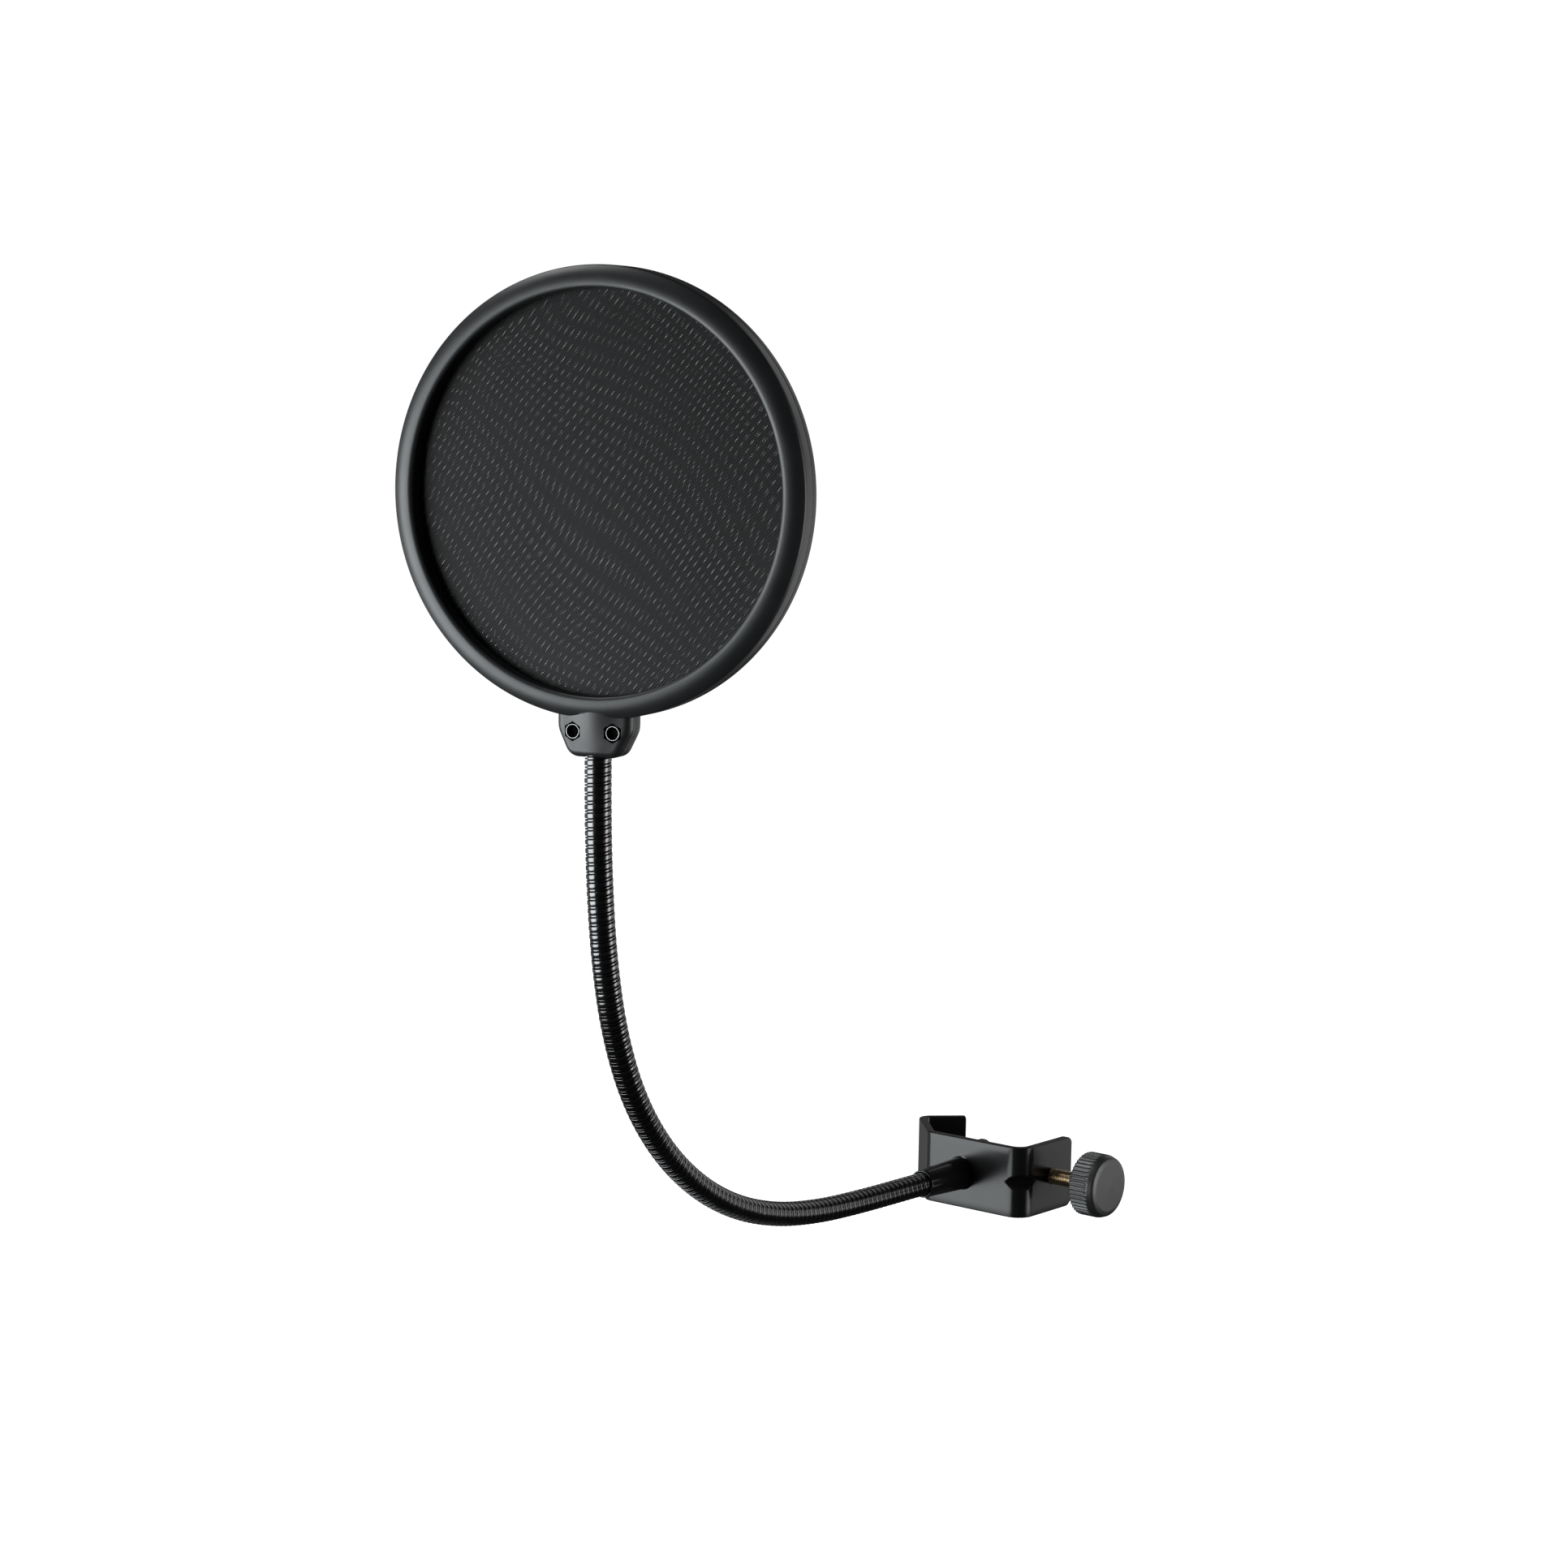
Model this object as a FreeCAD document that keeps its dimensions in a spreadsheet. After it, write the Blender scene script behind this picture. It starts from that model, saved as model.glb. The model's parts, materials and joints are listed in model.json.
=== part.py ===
import FreeCAD, Part
import math
import os
import Sketcher
from FreeCAD import Placement, Rotation, Vector

# Pop filter on a gooseneck arm with a tube clamp.
# Frame: millimetres, +Z up. The origin is on the axis of the clamped stand tube, halfway up the
# clamp. +X points from the tube to the clamp knob, and the arm leaves the clamp towards -Y.
#
# Three local frames are used:
#   clamp: the frame of the part itself
#   arm:   each link is drawn along its own +Z, from the pivot at its lower end
#   hoop:  origin at the centre of the front face, +X to the right, +Y to the back, +Z up

doc = FreeCAD.newDocument("pop_filter")
sheet = doc.addObject("Spreadsheet::Sheet", "Sizes")

SIZES = [
    # clamp
    ("tube_radius", 8, "stand tube that the clamp is drawn on"),
    ("clamp_height", 27, "height of the bent strip"),
    ("strip_thickness", 3, "thickness of the bent strip"),
    ("jaw_arm", 11.3, "reach of the rear jaw arm along X and Y"),
    ("plate_offset", 20, "tube axis to the outer face of the front plate"),
    ("leg_offset", 49.5, "tube axis to the outer face of the screw leg"),
    ("leg_reach", 12.5, "tube axis to the free edge of the screw leg"),
    ("jaw_bend", 5, "outer radius of the two jaw bends"),
    ("corner_bend", 7, "outer radius of the plate to leg bend"),
    ("leg_corner", 3, "corner radius of the leg's free edge"),
    ("dimple_width", 11, "width of the pressed stiffener across the corner"),
    ("dimple_height", 5, "height of the pressed stiffener"),
    # clamp screw, knob and pressure foot
    ("screw_radius", 3, "M6 clamp screw"),
    ("screw_gap", 0.05, "radial running gap of the screw in the leg"),
    ("screw_head_flats", 10, "hexagon head moulded into the knob, across flats"),
    ("screw_head_length", 4, "length of the hexagon head"),
    ("knob_start", 64.7, "tube axis to the back of the knob"),
    ("knob_length", 10.4, "knob barrel and shoulder"),
    ("knob_crown", 0.9, "height of the knob's domed face"),
    ("knob_radius", 12, "knob over its ribs"),
    ("knob_face_radius", 9.6, "flat of the knob inside its shoulder"),
    ("rib_count", 44, "ribs round the knob"),
    ("rib_groove", 0.45, "radius of the groove between two ribs"),
    ("rib_length", 8.2, "length of the ribs"),
    ("foot_radius", 8.0, "front of the pressure foot"),
    ("foot_pad", 6.4, "length of the foot in front of its flange"),
    ("foot_flange_radius", 8.9, "flange round the foot"),
    ("foot_flange", 1.4, "thickness of the flange"),
    ("foot_hub_radius", 6.5, "hub behind the flange"),
    ("foot_length", 9, "whole foot"),
    ("foot_gap", 0.05, "radial running gap of the screw tip in the foot"),
    ("foot_floor", 2.5, "material left in front of the screw tip"),
    ("clip_radius", 5, "retaining ring behind the foot"),
    ("clip_thickness", 0.8, "thickness of the retaining ring"),
    # socket and gooseneck
    ("socket_x", 21, "tube axis to the socket axis, along X"),
    ("socket_length", 25, "socket from plate to mouth"),
    ("socket_radius", 5.2, "outside of the socket at its mouth"),
    ("socket_base_radius", 5.7, "outside of the socket where it is welded on"),
    ("socket_flare", 7, "length of the weld flare"),
    ("arm_radius", 4.4, "outside of the gooseneck"),
    ("link_length", 26.72, "distance between two bending points"),
    ("link_gap", 0.3, "clearance between a link's ball and the next cup"),
    ("neck_insert", 11, "gooseneck held inside the neck"),
    # filter
    ("hoop_heading", 17.5, "turn of the hoop about the vertical"),
    ("hoop_radius", 71.6, "outside of the hoop"),
    ("hoop_opening", 64.2, "inner radius of the hoop"),
    ("hoop_depth", 12, "front face to back face"),
    ("seam_depth", 8, "front face to the outer seam"),
    ("skirt_radius", 69.9, "inside of the skirt round the meshes"),
    ("mesh_depth", 5, "front face to the front mesh"),
    ("mesh_thickness", 0.3, "thickness of one mesh layer"),
    ("spacer_thickness", 1.3, "ring between the two meshes"),
    ("edge_round", 1.6, "rounding of the front face's edges"),
    ("back_round", 0.9, "rounding of the back edges"),
    # neck
    ("neck_drop", 12.3, "neck below the hoop"),
    ("neck_half_width", 13.2, "half width under the hoop"),
    ("neck_foot_half_width", 8.2, "half width at the bottom"),
    ("neck_shoulder", 4.5, "drop from hoop to the start of the taper"),
    ("neck_round", 4.5, "rounding of the neck's lower corners"),
    ("neck_recess", 1.7, "neck's flat face behind the hoop's front face"),
    ("neck_back", 10.9, "front face to the neck's back"),
    ("parting_depth", 6.6, "front face to the parting plane and arm axis"),
    ("neck_bulge", 7.0, "radius of the swelling round the arm"),
    ("neck_screw_x", 7.0, "neck screw, sideways from the arm"),
    ("neck_screw_drop", 4.1, "neck screw, below the hoop"),
    ("neck_screw_radius", 1.5, "M3 screw"),
    ("neck_head_radius", 2.8, "screw head"),
    ("neck_head_height", 1.9, "screw head"),
    ("nut_flats", 5.5, "M3 nut across flats"),
    ("nut_height", 2.0, "M3 nut"),
    ("nut_recess", 0.3, "nut face behind the neck's flat face"),
]
ARM_BENDS = [1.0, 2.5, 5.5, 8.0, 10.0, 10.5, 12.0, 14.0, 12.0, 7.5, 4.0, 3.0]
ARM_TURNS = [2.0, 2.0, 1.5, 1.0, 0.5, 0.5, 0.5, 0.5, 0.5, 0, 0, 0]

row = 0
for alias, value, note in SIZES:
    row += 1
    sheet.set(f"A{row}", note)
    sheet.set(f"B{row}", str(value))
    sheet.setAlias(f"B{row}", alias)
for kind, angles in (("bend", ARM_BENDS), ("turn", ARM_TURNS)):
    for number, angle in enumerate(angles, start=1):
        row += 1
        sheet.set(f"A{row}", f"rest {kind} at pivot {number}")
        sheet.set(f"B{row}", str(angle))
        sheet.setAlias(f"B{row}", f"{kind}_{number:02d}")
doc.recompute()


def size(alias):
    """One driving dimension, read from the sheet."""
    return float(sheet.get(alias))


def bind(thing, **expressions):
    """Bind properties of an object to expressions of the sheet's aliases (written with S.)."""
    for name, expression in expressions.items():
        thing.setExpression(name, expression.replace("S.", "Sizes."))
    return thing


def primitive(kind, name, position=None, turn=None, **expressions):
    """A Part primitive whose sizes, and places in position, are expressions."""
    thing = bind(doc.addObject(f"Part::{kind}", name), **expressions)
    if turn is not None:
        thing.Placement = Placement(Vector(), turn)
    for axis, expression in zip("xyz", position or ()):
        if expression:
            thing.setExpression(f"Placement.Base.{axis}", expression.replace("S.", "Sizes."))
    return thing


def cut(name, base, *tools):
    """base less every tool."""
    for number, tool in enumerate(tools, start=1):
        step = doc.addObject("Part::Cut", name if number == len(tools) else f"{name}_cut{number}")
        step.Base = base
        step.Tool = tool
        base = step
    return base


def fuse(name, *shapes):
    """All shapes joined into one."""
    joined = doc.addObject("Part::MultiFuse", name)
    joined.Shapes = list(shapes)
    joined.Refine = True
    return joined


def origin_plane(body, role):
    return next(item for item in body.Origin.OriginFeatures if item.Role == role)


def outline_sketch(body, name, role, corners):
    """A closed outline on an origin plane. Each corner is a pair of expressions."""
    sketch = body.newObject("Sketcher::SketchObject", name)
    sketch.AttachmentSupport = [(origin_plane(body, role), "")]
    sketch.MapMode = "FlatFace"
    count = len(corners)
    around = [Vector(math.cos(math.tau * k / count), math.sin(math.tau * k / count), 0) * 50
              for k in range(count)]
    for k in range(count):
        sketch.addGeometry(Part.LineSegment(around[k], around[(k + 1) % count]), False)
    for k in range(count):
        sketch.addConstraint(Sketcher.Constraint("Coincident", k, 2, (k + 1) % count, 1))
    for k, pair in enumerate(corners):
        for direction, expression in zip(("DistanceX", "DistanceY"), pair):
            place = getattr(around[k], direction[-1].lower())
            number = sketch.addConstraint(Sketcher.Constraint(direction, -1, 1, k, 1, place))
            sketch.setExpression(f"Constraints[{number}]", expression.replace("S.", "Sizes."))
    doc.recompute()
    return sketch


def edges_at(shape, points, direction):
    """Names of the straight edges along a direction that pass through one of the points."""
    names = []
    for number, edge in enumerate(shape.Edges, start=1):
        if not isinstance(edge.Curve, Part.Line):
            continue
        along = (edge.lastVertex().Point - edge.firstVertex().Point).normalize()
        if abs(abs(along.dot(direction)) - 1) > 1e-6:
            continue
        for point in points:
            off = point - edge.firstVertex().Point
            if (off - along * off.dot(along)).Length < 0.01:
                names.append(f"Edge{number}")
                break
    return names


def round_edges(body, name, feature, edges, radius):
    fillet = body.newObject("PartDesign::Fillet", name)
    fillet.Base = (feature, edges)
    bind(fillet, Radius=radius)
    doc.recompute()
    return fillet


def turned(label, name, role, corners, axis):
    """A body made by turning an outline a full circle about one axis of its sketch."""
    body = doc.addObject("PartDesign::Body", label)
    sketch = outline_sketch(body, f"{name}_outline", role, corners)
    spin = body.newObject("PartDesign::Revolution", f"{name}_turned")
    spin.Profile = sketch
    spin.ReferenceAxis = (sketch, [axis])
    spin.Angle = 360
    doc.recompute()
    return body


UP = Vector(0, 0, 1)
ALONG_X = Rotation(Vector(0, 1, 0), 90)
ALONG_Y = Rotation(Vector(1, 0, 0), -90)
POINT_UP = ALONG_Y.multiply(Rotation(UP, 30))
nodes = []


def finish_node(label, thing, placement=None):
    thing.Label = label
    if placement is not None:
        thing.Placement = placement
    nodes.append(thing)
    return thing


# ---------------------------------------------------------------- clamp bracket

def clamp_bracket():
    """A strip bent to a right-angled V jaw, a front plate and a leg for the screw."""
    inner = "S.tube_radius * sqrt(2)"
    outer = "(S.tube_radius + S.strip_thickness) * sqrt(2)"
    skew = "S.strip_thickness / sqrt(2)"
    corners = [
        (f"-({inner})", "0"),
        (f"-({inner}) + S.jaw_arm", "S.jaw_arm"),
        (f"-({inner}) + S.jaw_arm - {skew}", f"S.jaw_arm + {skew}"),
        (f"-({outer})", "0"),
        (f"-({outer}) + S.plate_offset", "-S.plate_offset"),
        ("S.leg_offset", "-S.plate_offset"),
        ("S.leg_offset", "S.leg_reach"),
        ("S.leg_offset - S.strip_thickness", "S.leg_reach"),
        ("S.leg_offset - S.strip_thickness", "-S.plate_offset + S.strip_thickness"),
        (f"-({inner}) + S.plate_offset - S.strip_thickness", "-S.plate_offset + S.strip_thickness"),
    ]
    body = doc.addObject("PartDesign::Body", "bracket_strip")
    sketch = outline_sketch(body, "strip_outline", "XY_Plane", corners)
    pad = body.newObject("PartDesign::Pad", "strip_pad")
    pad.Profile = sketch
    pad.Midplane = True
    bind(pad, Length="S.clamp_height")
    doc.recompute()

    radius, thick = size("tube_radius"), size("strip_thickness")
    front, leg, reach = size("plate_offset"), size("leg_offset"), size("leg_reach")
    apex_in, apex_out = -radius * math.sqrt(2), -(radius + thick) * math.sqrt(2)
    bend_in = Vector(apex_in + front - thick, -front + thick, 0)
    jaw_inside = [Vector(apex_in, 0, 0), bend_in]
    jaw_outside = [Vector(apex_out, 0, 0), Vector(apex_out + front, -front, 0)]
    corner_inside = [Vector(leg - thick, -front + thick, 0)]
    corner_outside = [Vector(leg, -front, 0)]
    shape = pad
    for name, points, rounding in (
            ("jaw_outer_bends", jaw_outside, "S.jaw_bend"),
            ("jaw_inner_bends", jaw_inside, "S.jaw_bend - S.strip_thickness"),
            ("corner_outer_bend", corner_outside, "S.corner_bend"),
            ("corner_inner_bend", corner_inside, "S.corner_bend - S.strip_thickness")):
        shape = round_edges(body, name, shape, edges_at(shape.Shape, points, UP), rounding)
    half = size("clamp_height") / 2
    leg_corners = [Vector(leg, reach, half), Vector(leg, reach, -half)]
    round_edges(body, "leg_corners", shape, edges_at(shape.Shape, leg_corners, Vector(1, 0, 0)),
                "S.leg_corner")

    # The pressed stiffener: a V notch across the outside of the corner, and its ridge inside.
    def wedge(name, shift, half_height):
        prism = primitive("Prism", name, Height="S.dimple_width", Circumradius=half_height)
        prism.Polygon = 4
        middle = Vector(leg - shift, -front + shift, 0)
        along = Vector(1, 1, 0).normalize()
        prism.Placement = Placement(middle - along * size("dimple_width") / 2, Rotation(UP, along))
        return prism

    bend_middle = size("corner_bend") * (1 - math.sqrt(0.5))
    notch = wedge("stiffener_notch", bend_middle, "S.dimple_height / 2")
    ridge = wedge("stiffener_ridge", bend_middle + thick * math.sqrt(0.5),
                  "S.dimple_height / 2 + S.strip_thickness * (sqrt(2) - 1)")
    room = primitive("Box", "ridge_room", ("S.leg_offset - 21", "-S.plate_offset + 1",
                                           "-S.dimple_height"),
                     Length="20", Width="20", Height="2 * S.dimple_height")
    inner_ridge = doc.addObject("Part::Common", "stiffener_inside")
    inner_ridge.Base = ridge
    inner_ridge.Tool = room
    hole = primitive("Cylinder", "screw_hole", ("S.leg_offset - 2 * S.strip_thickness", "", ""),
                     ALONG_X, Radius="S.screw_radius + S.screw_gap", Height="3 * S.strip_thickness")
    strip = fuse("bracket_with_ridge", body, inner_ridge)
    finish_node("clamp_bracket", cut("bracket", strip, notch, hole))


# ---------------------------------------------------------------- screw, knob and foot

def clamp_screw():
    """The M6 screw, from its tip in the foot to the hexagon head moulded into the knob."""
    shank = primitive("Cylinder", "screw_shank", ("S.tube_radius + S.foot_floor", "", ""), ALONG_X,
                      Radius="S.screw_radius",
                      Height="S.knob_start - S.tube_radius - S.foot_floor + S.screw_head_length")
    head = primitive("Prism", "screw_head", ("S.knob_start + S.screw_head_length", "", ""), ALONG_X,
                     Circumradius="S.screw_head_flats / sqrt(3)", Height="S.screw_head_length")
    head.Polygon = 6
    finish_node("clamp_screw", fuse("screw", shank, head))


def clamp_knob():
    """A ribbed barrel with a rounded shoulder and a slightly domed plain face."""
    start, end = "S.knob_start", "S.knob_start + S.knob_length"
    corners = [
        (start, "S.screw_radius"),
        (start, "S.knob_radius - 0.6"),
        (f"{start} + 0.6", "S.knob_radius"),
        (f"{start} + S.rib_length", "S.knob_radius"),
        (f"{start} + S.rib_length + 1", "S.knob_radius - 0.15"),
        (f"{end} - 0.4", "S.knob_face_radius + 0.3"),
        (end, "S.knob_face_radius - 0.3"),
        (f"{end} + S.knob_crown * 0.7", "S.knob_face_radius * 0.55"),
        (f"{end} + S.knob_crown", "0"),
        (f"{start} + 2 * S.screw_head_length", "0"),
        (f"{start} + 2 * S.screw_head_length", "S.screw_radius"),
    ]
    body = turned("knob_body", "knob", "XY_Plane", corners, "H_Axis")
    groove = body.newObject("PartDesign::SubtractiveCylinder", "rib_groove")
    bind(groove, Radius="S.rib_groove", Height="S.rib_length")
    groove.AttachmentSupport = [(origin_plane(body, "YZ_Plane"), "")]
    groove.MapMode = "FlatFace"
    groove.setExpression("AttachmentOffset.Base.x", "Sizes.knob_radius + Sizes.rib_groove * 0.15")
    groove.setExpression("AttachmentOffset.Base.z", "Sizes.knob_start")
    doc.recompute()
    ribs = body.newObject("PartDesign::PolarPattern", "ribs")
    ribs.Originals = [groove]
    ribs.Axis = (origin_plane(body, "X_Axis"), [""])
    ribs.Angle = 360
    bind(ribs, Occurrences="S.rib_count")
    body.Tip = ribs
    doc.recompute()
    pocket = primitive("Prism", "head_pocket", ("S.knob_start + S.screw_head_length", "", ""),
                       ALONG_X, Circumradius="S.screw_head_flats / sqrt(3)",
                       Height="S.screw_head_length")
    pocket.Polygon = 6
    finish_node("clamp_knob", cut("knob", body, pocket))


def pressure_foot():
    """The round foot that presses on the tube, turning freely on the screw's tip."""
    face = "S.tube_radius"
    corners = [
        (face, "0"),
        (face, "S.foot_radius - 0.6"),
        (f"{face} + 0.6", "S.foot_radius"),
        (f"{face} + S.foot_pad", "S.foot_radius"),
        (f"{face} + S.foot_pad", "S.foot_flange_radius - 0.3"),
        (f"{face} + S.foot_pad + 0.3", "S.foot_flange_radius"),
        (f"{face} + S.foot_pad + S.foot_flange", "S.foot_flange_radius"),
        (f"{face} + S.foot_pad + S.foot_flange", "S.foot_hub_radius"),
        (f"{face} + S.foot_length", "S.foot_hub_radius"),
        (f"{face} + S.foot_length", "S.screw_radius + S.foot_gap"),
        (f"{face} + S.foot_floor - S.foot_gap", "S.screw_radius + S.foot_gap"),
        (f"{face} + S.foot_floor - S.foot_gap", "0"),
    ]
    body = turned("foot_body", "foot", "XY_Plane", corners, "H_Axis")
    finish_node("pressure_foot", body)

    ring = primitive("Cylinder", "clip_disc", ("S.tube_radius + S.foot_length + 0.1", "", ""),
                     ALONG_X, Radius="S.clip_radius", Height="S.clip_thickness")
    bore = primitive("Cylinder", "clip_bore", ("S.tube_radius + S.foot_length", "", ""), ALONG_X,
                     Radius="S.screw_radius", Height="S.clip_thickness + 0.2")
    finish_node("retaining_ring", cut("clip", ring, bore))


# ---------------------------------------------------------------- socket and gooseneck

def arm_socket():
    """The tube welded on the front plate that holds the gooseneck's end."""
    corners = [
        ("S.arm_radius", "-S.plate_offset"),
        ("S.socket_base_radius + 1", "-S.plate_offset"),
        ("S.socket_base_radius", "-S.plate_offset - 1.2"),
        ("S.socket_radius + 0.5", "-S.plate_offset - S.socket_flare * 0.5"),
        ("S.socket_radius", "-S.plate_offset - S.socket_flare"),
        ("S.socket_radius", "-S.plate_offset - S.socket_length + 0.4"),
        ("S.socket_radius - 0.3", "-S.plate_offset - S.socket_length"),
        ("S.arm_radius", "-S.plate_offset - S.socket_length"),
    ]
    body = turned("socket_body", "socket", "XY_Plane", corners, "V_Axis")
    finish_node("arm_socket", body, Placement(Vector(size("socket_x"), 0, 0), Rotation()))


def heading_vector(turn, bend):
    """Unit vector of the arm after turning sideways and bending up, in degrees."""
    side, rise = math.radians(turn), math.radians(bend)
    return Vector(math.sin(side) * math.cos(rise), -math.cos(side) * math.cos(rise), math.sin(rise))


def arm_route():
    """Pivots of the arm and the direction of every link, from the socket to the neck."""
    length = size("link_length")
    mouth = Vector(size("socket_x"), -size("plate_offset") - size("socket_length"), 0)
    turn = bend = 0
    pivot = mouth + heading_vector(turn, bend) * length * 0.5
    pivots, headings = [pivot], []
    for number in range(1, len(ARM_BENDS) + 1):
        bend += size(f"bend_{number:02d}")
        turn += size(f"turn_{number:02d}")
        headings.append(heading_vector(turn, bend))
        last = number == len(ARM_BENDS)
        pivot = pivot + headings[-1] * length * (0.5 if last else 1)
        pivots.append(pivot)
    return mouth, pivots, headings


def link_solid(name, length, ball, cup):
    """A link along +Z from a ball round its own pivot to a cup for the next link's ball."""
    solid = primitive("Cylinder", f"{name}_rod", Radius="S.arm_radius", Height=length)
    if ball:
        end = primitive("Sphere", f"{name}_ball", Radius="S.arm_radius")
        solid = fuse(f"{name}_rounded", solid, end)
    if cup:
        hollow = primitive("Sphere", f"{name}_hollow", ("", "", length),
                           Radius="S.arm_radius + S.link_gap")
        solid = cut(f"{name}_cupped", solid, hollow)
    return solid


def gooseneck(mouth, pivots, headings):
    """The gooseneck as short links, each free to bend where it meets the next."""
    inside = "S.socket_length - 1"
    base = link_solid("base", f"{inside} + S.link_length / 2", ball=False, cup=True)
    start = mouth + Vector(0, size("socket_length") - 1, 0)
    finish_node("gooseneck_base", base, Placement(start, Rotation(UP, Vector(0, -1, 0))))
    count = len(headings)
    for number, heading in enumerate(headings, start=1):
        last = number == count
        length = "S.link_length / 2 + S.neck_insert" if last else "S.link_length"
        link = link_solid(f"link{number:02d}", length, ball=True, cup=not last)
        finish_node(f"gooseneck_link_{number:02d}", link,
                    Placement(pivots[number - 1], Rotation(UP, heading)))


# ---------------------------------------------------------------- filter

def front_corners():
    """Section of the front hoop, radius by depth: a rounded face and a skirt round the meshes."""
    inner, outer, edge = "S.hoop_opening", "S.hoop_radius", "S.edge_round"
    return [
        (inner, f"{edge} * 0.6"),
        (f"{inner} + {edge} * 0.4", f"{edge} * 0.12"),
        (f"{inner} + {edge}", "0"),
        (f"{outer} - {edge} * 1.4", "0"),
        (f"{outer} - {edge} * 0.5", f"{edge} * 0.2"),
        (outer, f"{edge} * 0.8"),
        (outer, "S.seam_depth"),
        ("S.skirt_radius", "S.seam_depth"),
        ("S.skirt_radius", "S.mesh_depth"),
        (inner, "S.mesh_depth"),
    ]


def rear_corners():
    """Section of the rear hoop: it closes on the meshes and meets the skirt at the seam."""
    inner, outer, back = "S.hoop_opening", "S.hoop_radius", "S.hoop_depth"
    stack = "S.mesh_depth + 2 * S.mesh_thickness + S.spacer_thickness"
    return [
        (inner, stack),
        ("S.skirt_radius", stack),
        ("S.skirt_radius", "S.seam_depth"),
        (outer, "S.seam_depth"),
        (outer, f"{back} - S.back_round"),
        (f"{outer} - S.back_round", back),
        (f"{inner} + S.back_round * 0.5", back),
        (inner, f"{back} - S.back_round * 0.5"),
    ]


def spacer_corners():
    inner, outer = "S.hoop_opening + 0.4", "S.skirt_radius - 0.1"
    front = "S.mesh_depth + S.mesh_thickness"
    back = f"{front} + S.spacer_thickness"
    return [(inner, front), (outer, front), (outer, back), (inner, back)]


def ring(label, name, corners):
    return turned(label, name, "XY_Plane", corners, "V_Axis")


def neck_blank(name, front, back):
    """Neck outline between two depths, with the swelling that holds the arm."""
    hip = "-S.hoop_radius - S.neck_shoulder"
    bottom = "-S.hoop_radius - S.neck_drop"
    top = "-S.skirt_radius - 0.1"
    corners = [
        ("-S.neck_half_width", top), ("S.neck_half_width", top), ("S.neck_half_width", hip),
        ("S.neck_foot_half_width", bottom), ("-S.neck_foot_half_width", bottom),
        ("-S.neck_half_width", hip),
    ]
    body = doc.addObject("PartDesign::Body", f"{name}_block")
    sketch = outline_sketch(body, f"{name}_outline", "XZ_Plane", corners)
    sketch.setExpression("AttachmentOffset.Base.z", f"-({front})".replace("S.", "Sizes."))
    pad = body.newObject("PartDesign::Pad", f"{name}_pad")
    pad.Profile = sketch
    pad.Reversed = True
    bind(pad, Length=f"{back} - ({front})")
    doc.recompute()
    low = -size("hoop_radius") - size("neck_drop")
    shoulder = -size("hoop_radius") - size("neck_shoulder")
    wide, narrow = size("neck_half_width"), size("neck_foot_half_width")
    points = [Vector(side * x, 0, z) for side in (-1, 1) for x, z in ((narrow, low), (wide, shoulder))]
    round_edges(body, f"{name}_rounding", pad,
                edges_at(pad.Shape, points, Vector(0, 1, 0)), "S.neck_round")
    return body


def neck_half(name, front, back, side_start):
    """One half of the neck: block and swelling, and the tools for everything it holds."""
    block = neck_blank(name, front, back)
    swell = primitive("Cylinder", f"{name}_swell",
                      ("", "S.parting_depth", "-S.hoop_radius - S.neck_drop + 0.4"),
                      Radius="S.neck_bulge", Height="S.neck_drop + 0.4")
    keep = primitive("Box", f"{name}_side", ("-50", side_start, "-150"), Length="100",
                     Width="20", Height="150")
    bulge = doc.addObject("Part::Common", f"{name}_bulge")
    bulge.Base = swell
    bulge.Tool = keep
    solid = fuse(f"{name}_solid", block, bulge)
    bore = primitive("Cylinder", f"{name}_bore",
                     ("", "S.parting_depth", "-S.hoop_radius - S.neck_drop - 1"),
                     Radius="S.arm_radius", Height="S.neck_insert + 1")
    holes = pair("Cylinder", f"{name}_screw_hole", "-20", Radius="S.neck_screw_radius",
                 Height="60")
    return solid, [bore] + holes


def pair(kind, name, depth, **expressions):
    """The same primitive at both neck screws, starting at a depth and running to the back."""
    both = []
    hexagon = kind == "Prism"
    for side in (-1, 1):
        place = (f"{side} * S.neck_screw_x", depth, "-S.hoop_radius - S.neck_screw_drop")
        turn = POINT_UP if hexagon else ALONG_Y
        both.append(primitive(kind, f"{name}{side + 2}", place, turn, **expressions))
        if hexagon:
            both[-1].Polygon = 6
    return both


def front_hoop():
    band = ring("front_band", "front_band", front_corners())
    solid, tools = neck_half("front_neck", "S.neck_recess", "S.parting_depth",
                             "S.parting_depth - 20")
    pockets = pair("Prism", "nut_pocket", "-5", Circumradius="S.nut_flats / sqrt(3)",
                   Height="5 + S.neck_recess + S.nut_recess + S.nut_height")
    neck = cut("front_neck_bored", solid, *tools, *pockets)
    finish_node("front_hoop", fuse("front_hoop_solid", band, neck), hoop_placement)


def rear_hoop():
    band = ring("rear_band", "rear_band", rear_corners())
    solid, tools = neck_half("rear_neck", "S.parting_depth", "S.neck_back", "S.parting_depth")
    seat = primitive("Cylinder", "front_seat", ("", "", ""), ALONG_Y, Radius="S.hoop_radius",
                     Height="S.seam_depth")
    heads = pair("Cylinder", "head_seat", "S.neck_back - S.neck_head_height",
                 Radius="S.neck_head_radius", Height="10")
    neck = cut("rear_neck_bored", solid, seat, *tools, *heads)
    finish_node("rear_hoop", fuse("rear_hoop_solid", band, neck), hoop_placement)


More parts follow.
